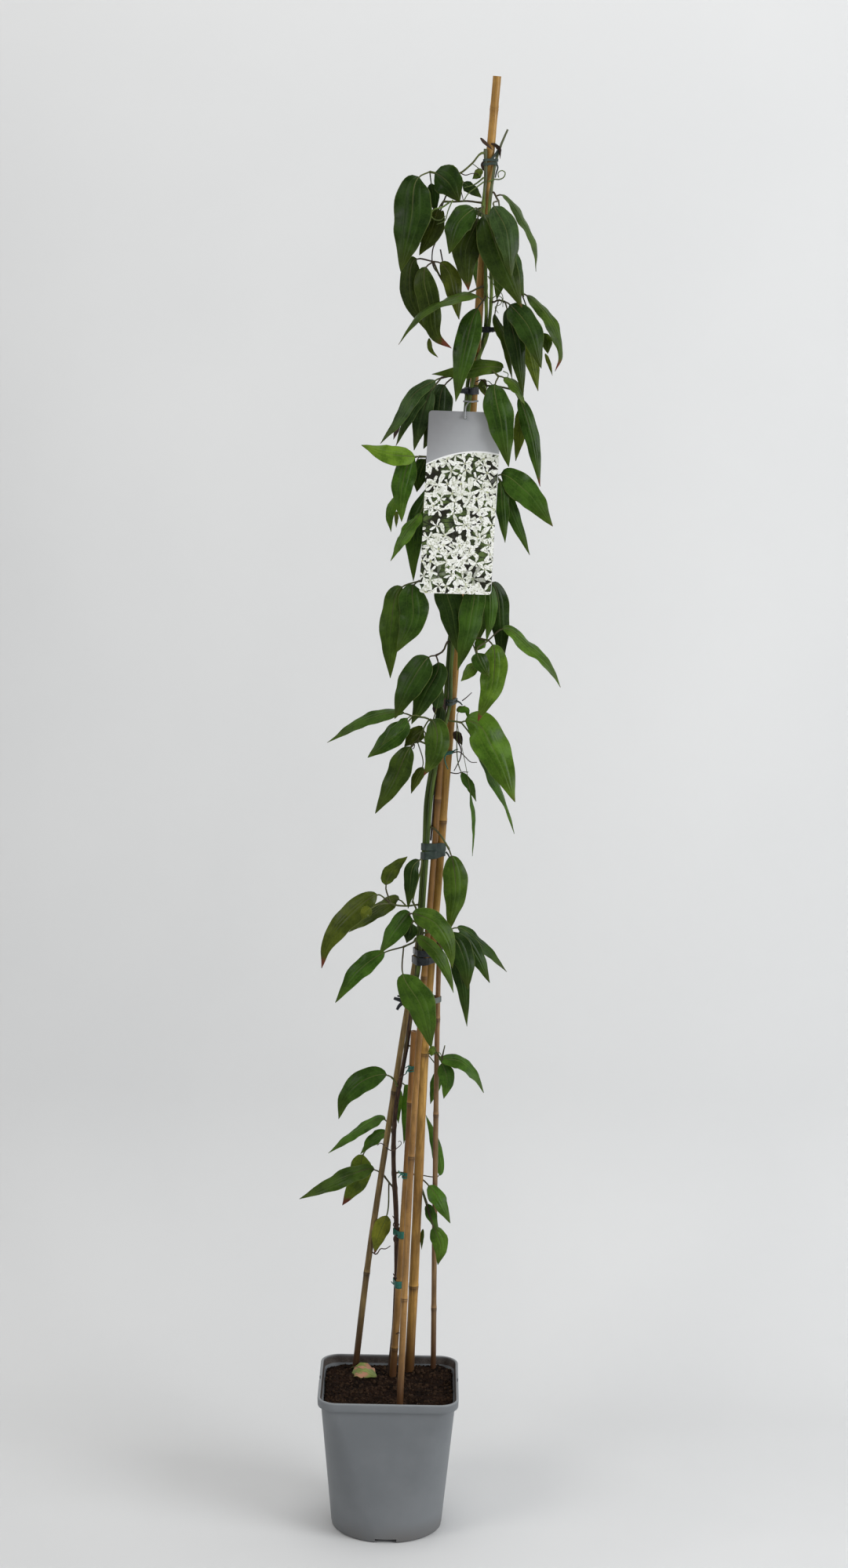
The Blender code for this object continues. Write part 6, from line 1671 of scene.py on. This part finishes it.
def make_blossom_group():
    tree, given, result = new_group(
        "star_blossoms", "ShaderNodeTree",
        {"Map": "Vector", "Under": "Color", "Size": 0.6, "Shift": 0.0,
         "Petals": 5.0, "Reach": 0.62, "Thin": 0.2},
        {"Colour": "Color"},
    )
    shift = node(tree, "ShaderNodeCombineXYZ", {0: given["Shift"], 1: given["Shift"], 2: 0.0})
    moved = vector(tree, "ADD", given["Map"], shift)
    cells = node(tree, "ShaderNodeTexVoronoi", {"Vector": moved, "Scale": given["Size"], "Randomness": 0.85},
                 voronoi_dimensions="2D")
    scaled = vector(tree, "SCALE", moved, given["Size"])
    centre = vector(tree, "SCALE", cells.outputs["Position"], given["Size"])
    local = vector(tree, "SUBTRACT", scaled, centre)
    x, y, _ = parts(tree, local)
    angle = maths(tree, "ARCTAN2", y, x)
    spin, lean, pale = node(tree, "ShaderNodeSeparateColor", {0: cells.outputs["Color"]}).outputs
    angle = plus(tree, angle, times(tree, spin, 6.28))
    fold = times(tree, times(tree, angle, given["Petals"]), 0.5)
    fold = maths(tree, "ABSOLUTE", maths(tree, "COSINE", fold))
    reach = times(tree, given["Reach"], ramp(tree, lean, 0.0, 1.0, 0.75, 1.05))
    rim = times(tree, reach, ramp(tree, maths(tree, "POWER", fold, 3.0), 0.0, 1.0, 0.08, 1.0))
    distance = node(tree, "ShaderNodeVectorMath", {0: local}, operation="LENGTH").outputs["Value"]
    inside = ramp(tree, minus(tree, distance, rim), -0.02, 0.015, 1.0, 0.0)
    there = ramp(tree, minus(tree, pale, given["Thin"]), 0.0, 0.02)
    inside = times(tree, inside, there)
    crease = ramp(tree, fold, 0.95, 1.0, 0.0, 0.3)
    petal = mix(tree, ramp(tree, fold, 0.4, 0.9), (0.55, 0.58, 0.45), (0.93, 0.93, 0.9))
    petal = mix(tree, crease, petal, (0.62, 0.66, 0.5))
    petal = mix(tree, ramp(tree, distance, 0.15, 0.7, 0.0, 0.55), petal, (0.96, 0.96, 0.93))
    petal = mix(tree, ramp(tree, lean, 0.3, 1.0, 0.0, 0.4), petal, (0.5, 0.53, 0.4))
    folds = cloudy(tree, given["Map"], 5.0, 3.0)
    petal = mix(tree, ramp(tree, folds, 0.5, 0.62, 0.0, 0.75), petal, (0.36, 0.38, 0.25))
    petal = mix(tree, ramp(tree, distance, 0.03, 0.11, 0.8, 0.0), petal, (0.35, 0.38, 0.12))
    feed(tree, result, Colour=mix(tree, inside, given["Under"], petal))
    return tree


BLOSSOMS = make_blossom_group()
print("group", BLOSSOMS.name, "with", len(BLOSSOMS.nodes), "nodes")

# %% The card's material


def card_material():
    made, tree, sockets, _ = start_material("card_print", Coat_Roughness=0.15)
    chart = node(tree, "ShaderNodeUVMap", uv_map="print")
    across, down, _ = parts(tree, chart)
    leaves = patchy(tree, chart, 0.9, (0.006, 0.006, 0.004), (0.12, 0.18, 0.05), 0.35)
    values = {"Vector": chart, "Rotation": (0, 0, 0.6), "Scale": (0.5, 1.8, 1)}
    values = {"Vector": node(tree, "ShaderNodeMapping", values), "Scale": 1.0}
    blades = node(tree, "ShaderNodeTexVoronoi", values, voronoi_dimensions="2D", feature="DISTANCE_TO_EDGE")
    shade = mix(tree, ramp(tree, blades, 0.0, 0.12), (0.012, 0.014, 0.008), leaves["Colour"])
    gloom = cloudy(tree, chart, 0.45, 1.0)
    shade = mix(tree, ramp(tree, gloom, 0.45, 0.55, 0.0, 0.9), shade, (0.012, 0.009, 0.007))
    wild = node(tree, "ShaderNodeTexNoise", {"Vector": chart, "Scale": 2.2, "Detail": 2.0}).outputs["Color"]
    warp = vector(tree, "SCALE", wild, 0.22)
    warped = vector(tree, "ADD", chart, warp)
    for size, shift, petals, reach, thin in ((0.56, 3.1, 5.0, 0.62, 0.1), (0.46, 7.7, 4.0, 0.7, 0.25),
                                             (0.4, 12.4, 4.0, 0.7, 0.3), (0.43, 21.9, 5.0, 0.66, 0.3)):
        shade = use_group(tree, BLOSSOMS, Map=warped, Under=shade, Size=size, Shift=shift, Petals=petals,
                          Reach=reach, Thin=thin)["Colour"]
    bend = times(tree, times(tree, across, across), 0.045)
    line = plus(tree, minus(tree, down, bend), times(tree, across, 0.16))
    satin = cloudy(tree, chart, 1.2, 2.0)
    slope = plus(tree, plus(tree, across, down), satin)
    grey = mix(tree, ramp(tree, slope, -3.5, 7.5), (0.2, 0.2, 0.205), (0.42, 0.43, 0.44))
    colour = mix(tree, ramp(tree, line, 4.65, 4.7), grey, (0.85, 0.85, 0.84))
    colour = mix(tree, ramp(tree, line, 4.84, 4.88), colour, shade)
    edge = ramp(tree, across, 4.12, 4.2)
    colour = mix(tree, edge, colour, (0.7, 0.7, 0.7))
    feed(tree, sockets, Base_Color=colour)
    rough = cloudy(tree, chart, 6.0, 3.0)
    feed(tree, sockets, Roughness=ramp(tree, rough, 0.3, 0.7, 0.28, 0.4))
    return made


def card_back_material():
    """Uncoated white card with the faint fibres of its stock."""
    made, tree, sockets, place = start_material("card_back")
    stock = patchy(tree, place, 60.0, (0.62, 0.62, 0.6), (0.74, 0.74, 0.72), 0.5)
    feed(tree, sockets, Base_Color=stock["Colour"], Roughness=ramp(tree, stock["Value"], 0.0, 1.0, 0.5, 0.62))
    return made


CARD_PRINT, CARD_BACK = card_material(), card_back_material()
print("card materials:", CARD_PRINT.name, "and", CARD_BACK.name)

# %% The card's mesh, with its round corners and its hole


def make_card():
    half = CARD_WIDTH / 2
    edge = []
    for cx, low, start in ((-1, False, 90), (-1, True, 180), (1, True, 270), (1, False, 0)):
        for turn in np.radians(np.linspace(start, start + 90, 9)):
            x = cx * (half - CORNER) + CORNER * math.cos(turn)
            y = (CARD_HEIGHT - CORNER if low else CORNER) - CORNER * math.sin(turn)
            edge.append((x, y))
    turns = np.linspace(0, 2 * math.pi, 24, endpoint=False)
    hole = [(CARD_HOLE * math.cos(a), HOLE_DOWN + CARD_HOLE * math.sin(a)) for a in turns]
    bm = bmesh.new()
    chart = bm.loops.layers.uv.new("print")
    spots, sheets = {}, []
    for forward in (CARD_THICK / 2, -CARD_THICK / 2):
        sheet = []
        for outline in (edge, hole):
            sheet.append([bm.verts.new(card_point(x, y, forward)) for x, y in outline])
            spots.update(zip(sheet[-1], outline))
        sides = [bm.edges.new(ends) for verts in sheet for ends in zip(verts, verts[1:] + verts[:1])]
        filled = bmesh.ops.triangle_fill(bm, use_beauty=True, edges=sides)["geom"]
        for face in [f for f in filled if isinstance(f, bmesh.types.BMFace)]:
            face.material_index = 0 if forward > 0 else 1
        sheets.append(sheet)
    for front, back in zip(*sheets):
        for corners in zip(front, front[1:] + front[:1], back[1:] + back[:1], back):
            bm.faces.new(corners).material_index = 1
    bmesh.ops.recalc_face_normals(bm, faces=bm.faces)
    for face in bm.faces:
        for loop in face.loops:
            loop[chart].uv = [c / 10 for c in spots[loop.vert]]
    return add_mesh("plant_card", bm, CARD_PRINT, CARD_BACK)


keep(make_card(), "card", "card")
print("card:", PIECES[-1])

# %% [markdown]
# The card hangs on a loop of grey wire that goes round the cane and both shoots. An arm runs
# from the loop over the card's upper edge and down to a small button behind which the card
# cannot slip off.

# %% The hook
WIRE = tape_material("hook_wire", (0.2, 0.205, 0.21), (0.34, 0.35, 0.36), 0.3)


def make_hook():
    level = tie_level(UPPER, 1374)
    held = [members[m] for m in UPPER]
    loop = band("hook_loop", held, level, 2.0, 1.2, WIRE, 0.2, 0.3)
    over = card_point(0.5, -6, -8)
    spots, _ = tie_line(held, level, 0.9 * MM)
    wall = min(spots, key=lambda s: (s - over).length)
    above = [card_point(0, HOLE_DOWN, 3), card_point(0, 4, 2.6), card_point(0, -3, 0.5)]
    arm = strand(Route([*above, over, wall]), 30, 0.8)
    button = [(4.5, 1.2), (4.3, 1.7), (3.0, 1.7), (2.8, 1.2), (-2.2, 1.2), (-2.5, 0.9)]
    pin = [card_point(0, HOLE_DOWN, f) for f, _ in button], [w * MM for _, w in button]
    return join("card_wire", [loop, tubes("hook_arm", [arm, pin], 14, WIRE)])


keep(make_hook(), "card_hook", "card_hook")
print("hook:", PIECES[-1])

# %% [markdown]
# ## The fallen leaf and the small things
#
# One old leaf lies on the soil, arched, yellow-green with a dead patch the colour of skin. Its
# shape is the same blade as on the plant, with a material of its own.

# %% The fallen leaf


def dead_leaf_material():
    made, tree, sockets, place = start_material("fallen_leaf")
    marks = attribute(tree, "leaf_state")["Color"]
    chart = node(tree, "ShaderNodeUVMap", uv_map="blade")
    leaf = use_group(tree, LEAF, Place=place, Map=chart, State=marks, Green=(0.12, 0.19, 0.055),
                     Vein=(0.3, 0.28, 0.12), Clear=0.6)
    spots = cloudy(tree, chart, 2.6, 3.0)
    _, along, _ = parts(tree, chart)
    dead = times(tree, ramp(tree, spots, 0.47, 0.53), ramp(tree, along, 0.75, 0.6))
    colour = mix(tree, dead, leaf["Colour"], (0.42, 0.21, 0.13))
    feed(tree, sockets, Base_Color=colour, Roughness=ramp(tree, dead, 0.0, 1.0, 0.45, 0.75))
    raise_surface(tree, sockets, minus(tree, leaf["Height"], dead), 0.4 * MM, 0.7)
    return made


def make_fallen_leaf():
    points = []
    for x, y, rise in ((-47, 60, 2), (-43, 54, 5), (-31, 42, 6), (-15, 28, 2)):
        points.append(Vector((x, y, rise)) * MM + Vector((0, 0, soil_height(x * MM, y * MM))))
    bm = start_blades()
    line = Route(points)
    rib = blade(bm, line, line.knots[1], 32, -74, 4, (0.1, 0.5, 0.4))
    leaf = add_mesh("dead_blade", bm, *[dead_leaf_material()] * 2)
    stalk = tubes("dead_rib", [rib_path(line, rib, 4, 0.9, 0.7, 0.7)], 8, STALK)
    return join("leaf_on_the_soil", [leaf, stalk])


keep(make_fallen_leaf(), "leaf_bright", "fallen_leaf")
print("fallen leaf:", PIECES[-1])

# %% [markdown]
# What makes the plant look alive is small: tendrils that curl round nothing, a broken twig,
# leaves no longer than a fingernail and withered bits that hang on at the joints. Tendrils are
# thin tubes, the rest are tiny blades, all written down as the few points that they go through.

# %% Tendrils: green or dry, radius, depth (one for all or one for each point), x and z (mm)
CURLS = [
    ("green", 1.0, -18, [(89, 1623), (96, 1626), (102, 1626), (107, 1629), (108, 1634), (104, 1636),
                         (100, 1633), (101, 1628)]),
    ("green", 1.2, -22, [(84, 1628), (74, 1620), (62, 1616)]),
    ("green", 1.0, -26, [(84, 1623), (75, 1616), (67, 1610), (61, 1600)]),
    ("dry", 0.8, -22, [(56, 1633), (63, 1630), (70, 1632), (77, 1632)]),
    ("dry", 0.8, -24, [(56, 1625), (58, 1614), (61, 1602)]),
    ("green", 1.2, -34, [(45, 1599), (36, 1593), (28, 1591), (24, 1585), (28, 1580), (36, 1579), (41, 1584)]),
    ("green", 0.9, -36, [(49, 1602), (44, 1590), (40, 1578), (31, 1574)]),
    ("dry", 1.2, -16, [(56, 1630), (42, 1608), (36, 1592), (33, 1562), (27, 1544), (29, 1525), (37, 1516)]),
    ("dry", 1, -18, [(36, 1546), (41, 1522), (47, 1490)]),
    ("green", 0.7, -24, [(87, 1500), (95, 1491), (102, 1495), (108, 1492), (106, 1485), (100, 1482),
                         (104, 1475)]),
    ("green", 0.7, -22, [(91, 1517), (99, 1506), (108, 1496), (109, 1482)]),
    ("dry", 0.8, -18, [(80, 1396), (87, 1399), (93, 1392), (91, 1384), (96, 1379)]),
    ("green", 0.7, -20, [(111, 1409), (117, 1406), (116, 1399), (119, 1396)]),
    ("dry", 0.9, 38, [(-23, 346), (-18, 343), (-16, 345), (-13, 350), (-7, 350), (-1, 354)]),
    ("dry", 0.9, 26, [(9, 382), (6, 377), (2, 380), (4, 386), (1, 392)]),
    ("dry", 0.8, 26, [(9, 368), (3, 365), (4, 359), (8, 362), (5, 355)]),
    ("dry", 0.9, 28, [(9, 312), (5, 315), (3, 319)]),
    ("dry", 0.7, 28, [(6, 315), (3, 314)]),
    ("dry", 0.7, 30, [(8, 242), (12, 244), (16, 241)]),
    ("dry", 0.7, 10, [(5, 564), (11, 568), (14, 570), (17, 578)]),
    ("dry", 0.7, 20, [(-9, 478), (-2, 474), (6, 478), (10, 483), (9, 486), (6, 485)]),
    ("dry", 0.7, 26, [(-10, 480), (-15, 483), (-19, 480)]),
    ("green", 1.2, 8, [(57, 591), (60, 606)]),
    ("green", 0.7, 6, [(50, 602), (43, 601), (40, 596), (45, 594), (54, 597), (56, 592), (51, 588)]),
    ("green", 0.7, 2, [(27, 634), (26, 629)]),
    ("green", 0.7, [-16, -20, -18], [(86, 1390), (90, 1392), (93, 1380)]),
    ("dry", 0.8, [-4, -5, -6], [(72, 1024), (77, 1028), (83, 1034)]),
    ("dry", 0.9, [-6, -8, -7, -5, -6], [(68, 975), (72, 966), (71, 955), (68, 948), (64, 940)]),
    ("dry", 0.8, [-14, -12, -10, -10, -10], [(62, 962), (70, 963), (77, 957), (84, 951), (91, 951)]),
    ("dry", 0.8, [-8, -9, -9, -9], [(60, 938), (67, 937), (75, 939), (81, 939)]),
    ("dry", 2, -3, [(46, 940), (43.3, 925), (41.7, 906), (40, 880), (38.3, 856)]),
    ("dry", 0.8, [-20, -22, -22, -20], [(13, 967), (17, 971), (16, 966), (11, 966)]),
    ("dry", 0.7, [4, 2, 0], [(56, 585), (58, 595), (60, 605)]),
]
# Tiny leaves and scraps: kind, width and roll, layout points
SCRAPS = [
    ("scrap", 4, 0, [(79, -14, 1672), (84, -14, 1667), (93, -14, 1659)]),
    ("leaf", 9, 20, [(83, -20, 1634), (77, -20, 1634), (72, -20, 1630)]),
    ("scrap", 8, 60, [(91, -14, 1666), (100, -14, 1660), (102, -14, 1649)]),
    ("scrap", 9, 20, [(86, -13, 1647), (84, -13, 1640), (88, -13, 1633)]),
    ("scrap", 14, 30, [(45, -12, 1028), (42, -12, 1015), (47, -12, 1000)]),
    ("scrap", 10, -30, [(50, -13, 1027), (51, -13, 1017), (46, -13, 1006)]),
    ("leaf", 9, 30, [(66, -10, 1011), (72, -10, 1015), (76, -10, 1018)]),
    ("leaf", 6, 10, [(38, -22, 1590), (35, -24, 1580), (29, -26, 1586)]),
    ("leaf", 5, 0, [(-9, -30, 1245), (-9, -31, 1236), (-9, -32, 1226)]),
    ("scrap", 6, 10, [(-8, -30, 1347), (-11, -31, 1338), (-14, -32, 1328)]),
    ("leaf", 6, 0, [(25, -30, 1445), (27, -31, 1432), (36, -32, 1423)]),
    ("leaf", 5, 10, [(159, -30, 1430), (164, -31, 1418), (168, -32, 1405)]),
    ("leaf", 5, 0, [(38, 50, 376), (37, 49, 364), (37, 48, 350)]),
    ("scrap", 12, 20, [(62, -9, 986), (68, -13, 980), (73, -14, 971)]),
]
WITHERED = tape_material("withered", (0.016, 0.009, 0.007), (0.07, 0.04, 0.025), 0.6)

# %% Two pieces for all of them


def make_tendrils(kind, skin):
    paths = []
    for _, radius, depths, points in [c for c in CURLS if c[0] == kind]:
        depths = np.broadcast_to(depths, len(points))
        route = Route([at(x, depth, z) for (x, z), depth in zip(points, depths)])
        paths.append(strand(route, max(4, int(route.length / (2 * MM))), radius, 0.4))
    return tubes(kind + "_tendrils", paths, 6, skin)


def make_scraps(kind, skins):
    bm = start_blades()
    for number, (_, width, roll, points) in enumerate(c for c in SCRAPS if c[0] == kind):
        blade(bm, Route([at(*p) for p in points]), 0.0, width, roll, number, (0.2, 0.2, 0.4), 0.6)
    return add_mesh("small_" + kind + "_blades", bm, *skins)


keep(make_tendrils("green", TENDRIL), "stem")
keep(make_tendrils("dry", WITHERED), "stem")
keep(make_scraps("leaf", LEAVES["olive"]), "leaf_olive")
keep(make_scraps("scrap", [WITHERED, WITHERED]), "leaf_olive")
print("small things:", len(CURLS) + len(SCRAPS))

# %% [markdown]
# ## Floor, light and camera
#
# The plant stands on a pale floor that curves up into a pale wall, as in a photo studio. Its
# back is clear, so that the plant can be looked at from behind too, and the floor goes on
# there. Large soft lamps give gentle shadows, and a bright surrounding fills them in.

# %% Floor and wall in one sheet
HALF_WIDTH, FLOOR_FRONT, FLOOR_BACK = 5.0, -6.0, 7.0
BEND_AT, BEND, WALL_TOP = 0.35, 0.35, 4.0


def make_sweep():
    """A floor that turns up into a wall behind the plant, clear when it is seen from behind."""
    turns = [math.pi / 2 * step / 12 for step in range(13)]
    bend = [(BEND_AT + BEND * math.sin(turn), BEND * (1 - math.cos(turn))) for turn in turns]
    profile = [(FLOOR_FRONT, 0.0), *bend, (BEND_AT + BEND, WALL_TOP)]
    bm = bmesh.new()
    rows = [[bm.verts.new((x, y, z)) for x in (-HALF_WIDTH, HALF_WIDTH)] for y, z in profile]
    for low, high in zip(rows[:-1], rows[1:]):
        bm.faces.new((low[0], low[1], high[1], high[0])).smooth = True
    behind = ((-1, BEND_AT), (1, BEND_AT), (1, FLOOR_BACK), (-1, FLOOR_BACK))
    bm.faces.new([bm.verts.new((side * HALF_WIDTH, y, 0)) for side, y in behind])
    made, tree, sockets, place = start_material("studio_pale", Roughness=0.85)
    tint = patchy(tree, place, 0.8, (0.7, 0.704, 0.705), (0.75, 0.752, 0.75), 0.1)
    feed(tree, sockets, Base_Color=tint["Colour"])
    clear = node(tree, "ShaderNodeBsdfTransparent")
    side = node(tree, "ShaderNodeNewGeometry").outputs["Backfacing"]
    painted = tree.nodes["Principled BSDF"].outputs[0]
    sheet = node(tree, "ShaderNodeMixShader", {0: side, 1: painted, 2: clear})
    feed(tree, tree.nodes["Material Output"].inputs, Surface=sheet)
    return add_mesh("studio_sweep", bm, made)


make_sweep()
print("the sweep is", 2 * HALF_WIDTH, "m wide")

# %% Soft lamps and a bright surrounding


def lamp(name, place, target, size, power, colour):
    data = bpy.data.lights.new(name, "AREA")
    data.shape, data.size, data.energy, data.color = "DISK", size, power, colour
    made = bpy.data.objects.new(name, data)
    made.location = place
    made.rotation_euler = (Vector(target) - Vector(place)).to_track_quat("-Z", "Y").to_euler()
    bpy.context.collection.objects.link(made)


lamp("key", (-2.1, -2.0, 2.7), (0, 0, 0.9), 1.6, 29, (1.0, 0.98, 0.95))
lamp("fill", (2.4, -1.5, 1.5), (0, 0, 0.6), 1.8, 52, (0.96, 0.98, 1.0))
lamp("top", (0.1, -0.2, 3.3), (0, 0.4, 1.2), 1.4, 18, (1.0, 0.99, 0.97))
world = bpy.data.worlds.new("surrounding")
world.use_nodes = True
feed(world.node_tree, world.node_tree.nodes["Background"].inputs, Color=(0.97, 0.98, 1.0), Strength=0.35)
bpy.context.scene.world = world
bpy.context.scene.view_settings.view_transform = "Standard"

# %% [markdown]
# The camera stands at the height of a raised arm and looks a little down, turned by about one
# degree. A long lens keeps the plant's uprights nearly parallel.

# %% Camera
eye = bpy.data.cameras.new("eye")
eye.sensor_width = 36
eye.lens = 71.1
camera = bpy.data.objects.new("eye", eye)
camera.location = STANDPOINT
camera.rotation_mode = "QUATERNION"
tilt = Quaternion((1, 0, 0), math.radians(79.9))
camera.rotation_quaternion = tilt @ Quaternion((0, 0, 1), math.radians(1.1))
bpy.context.collection.objects.link(camera)
bpy.context.scene.camera = camera
print("camera at", tuple(camera.location))

# %% Measure and finish
print("triangles:", sum(n for _, n in PIECES), "most in one piece:", max(n for _, n in PIECES))
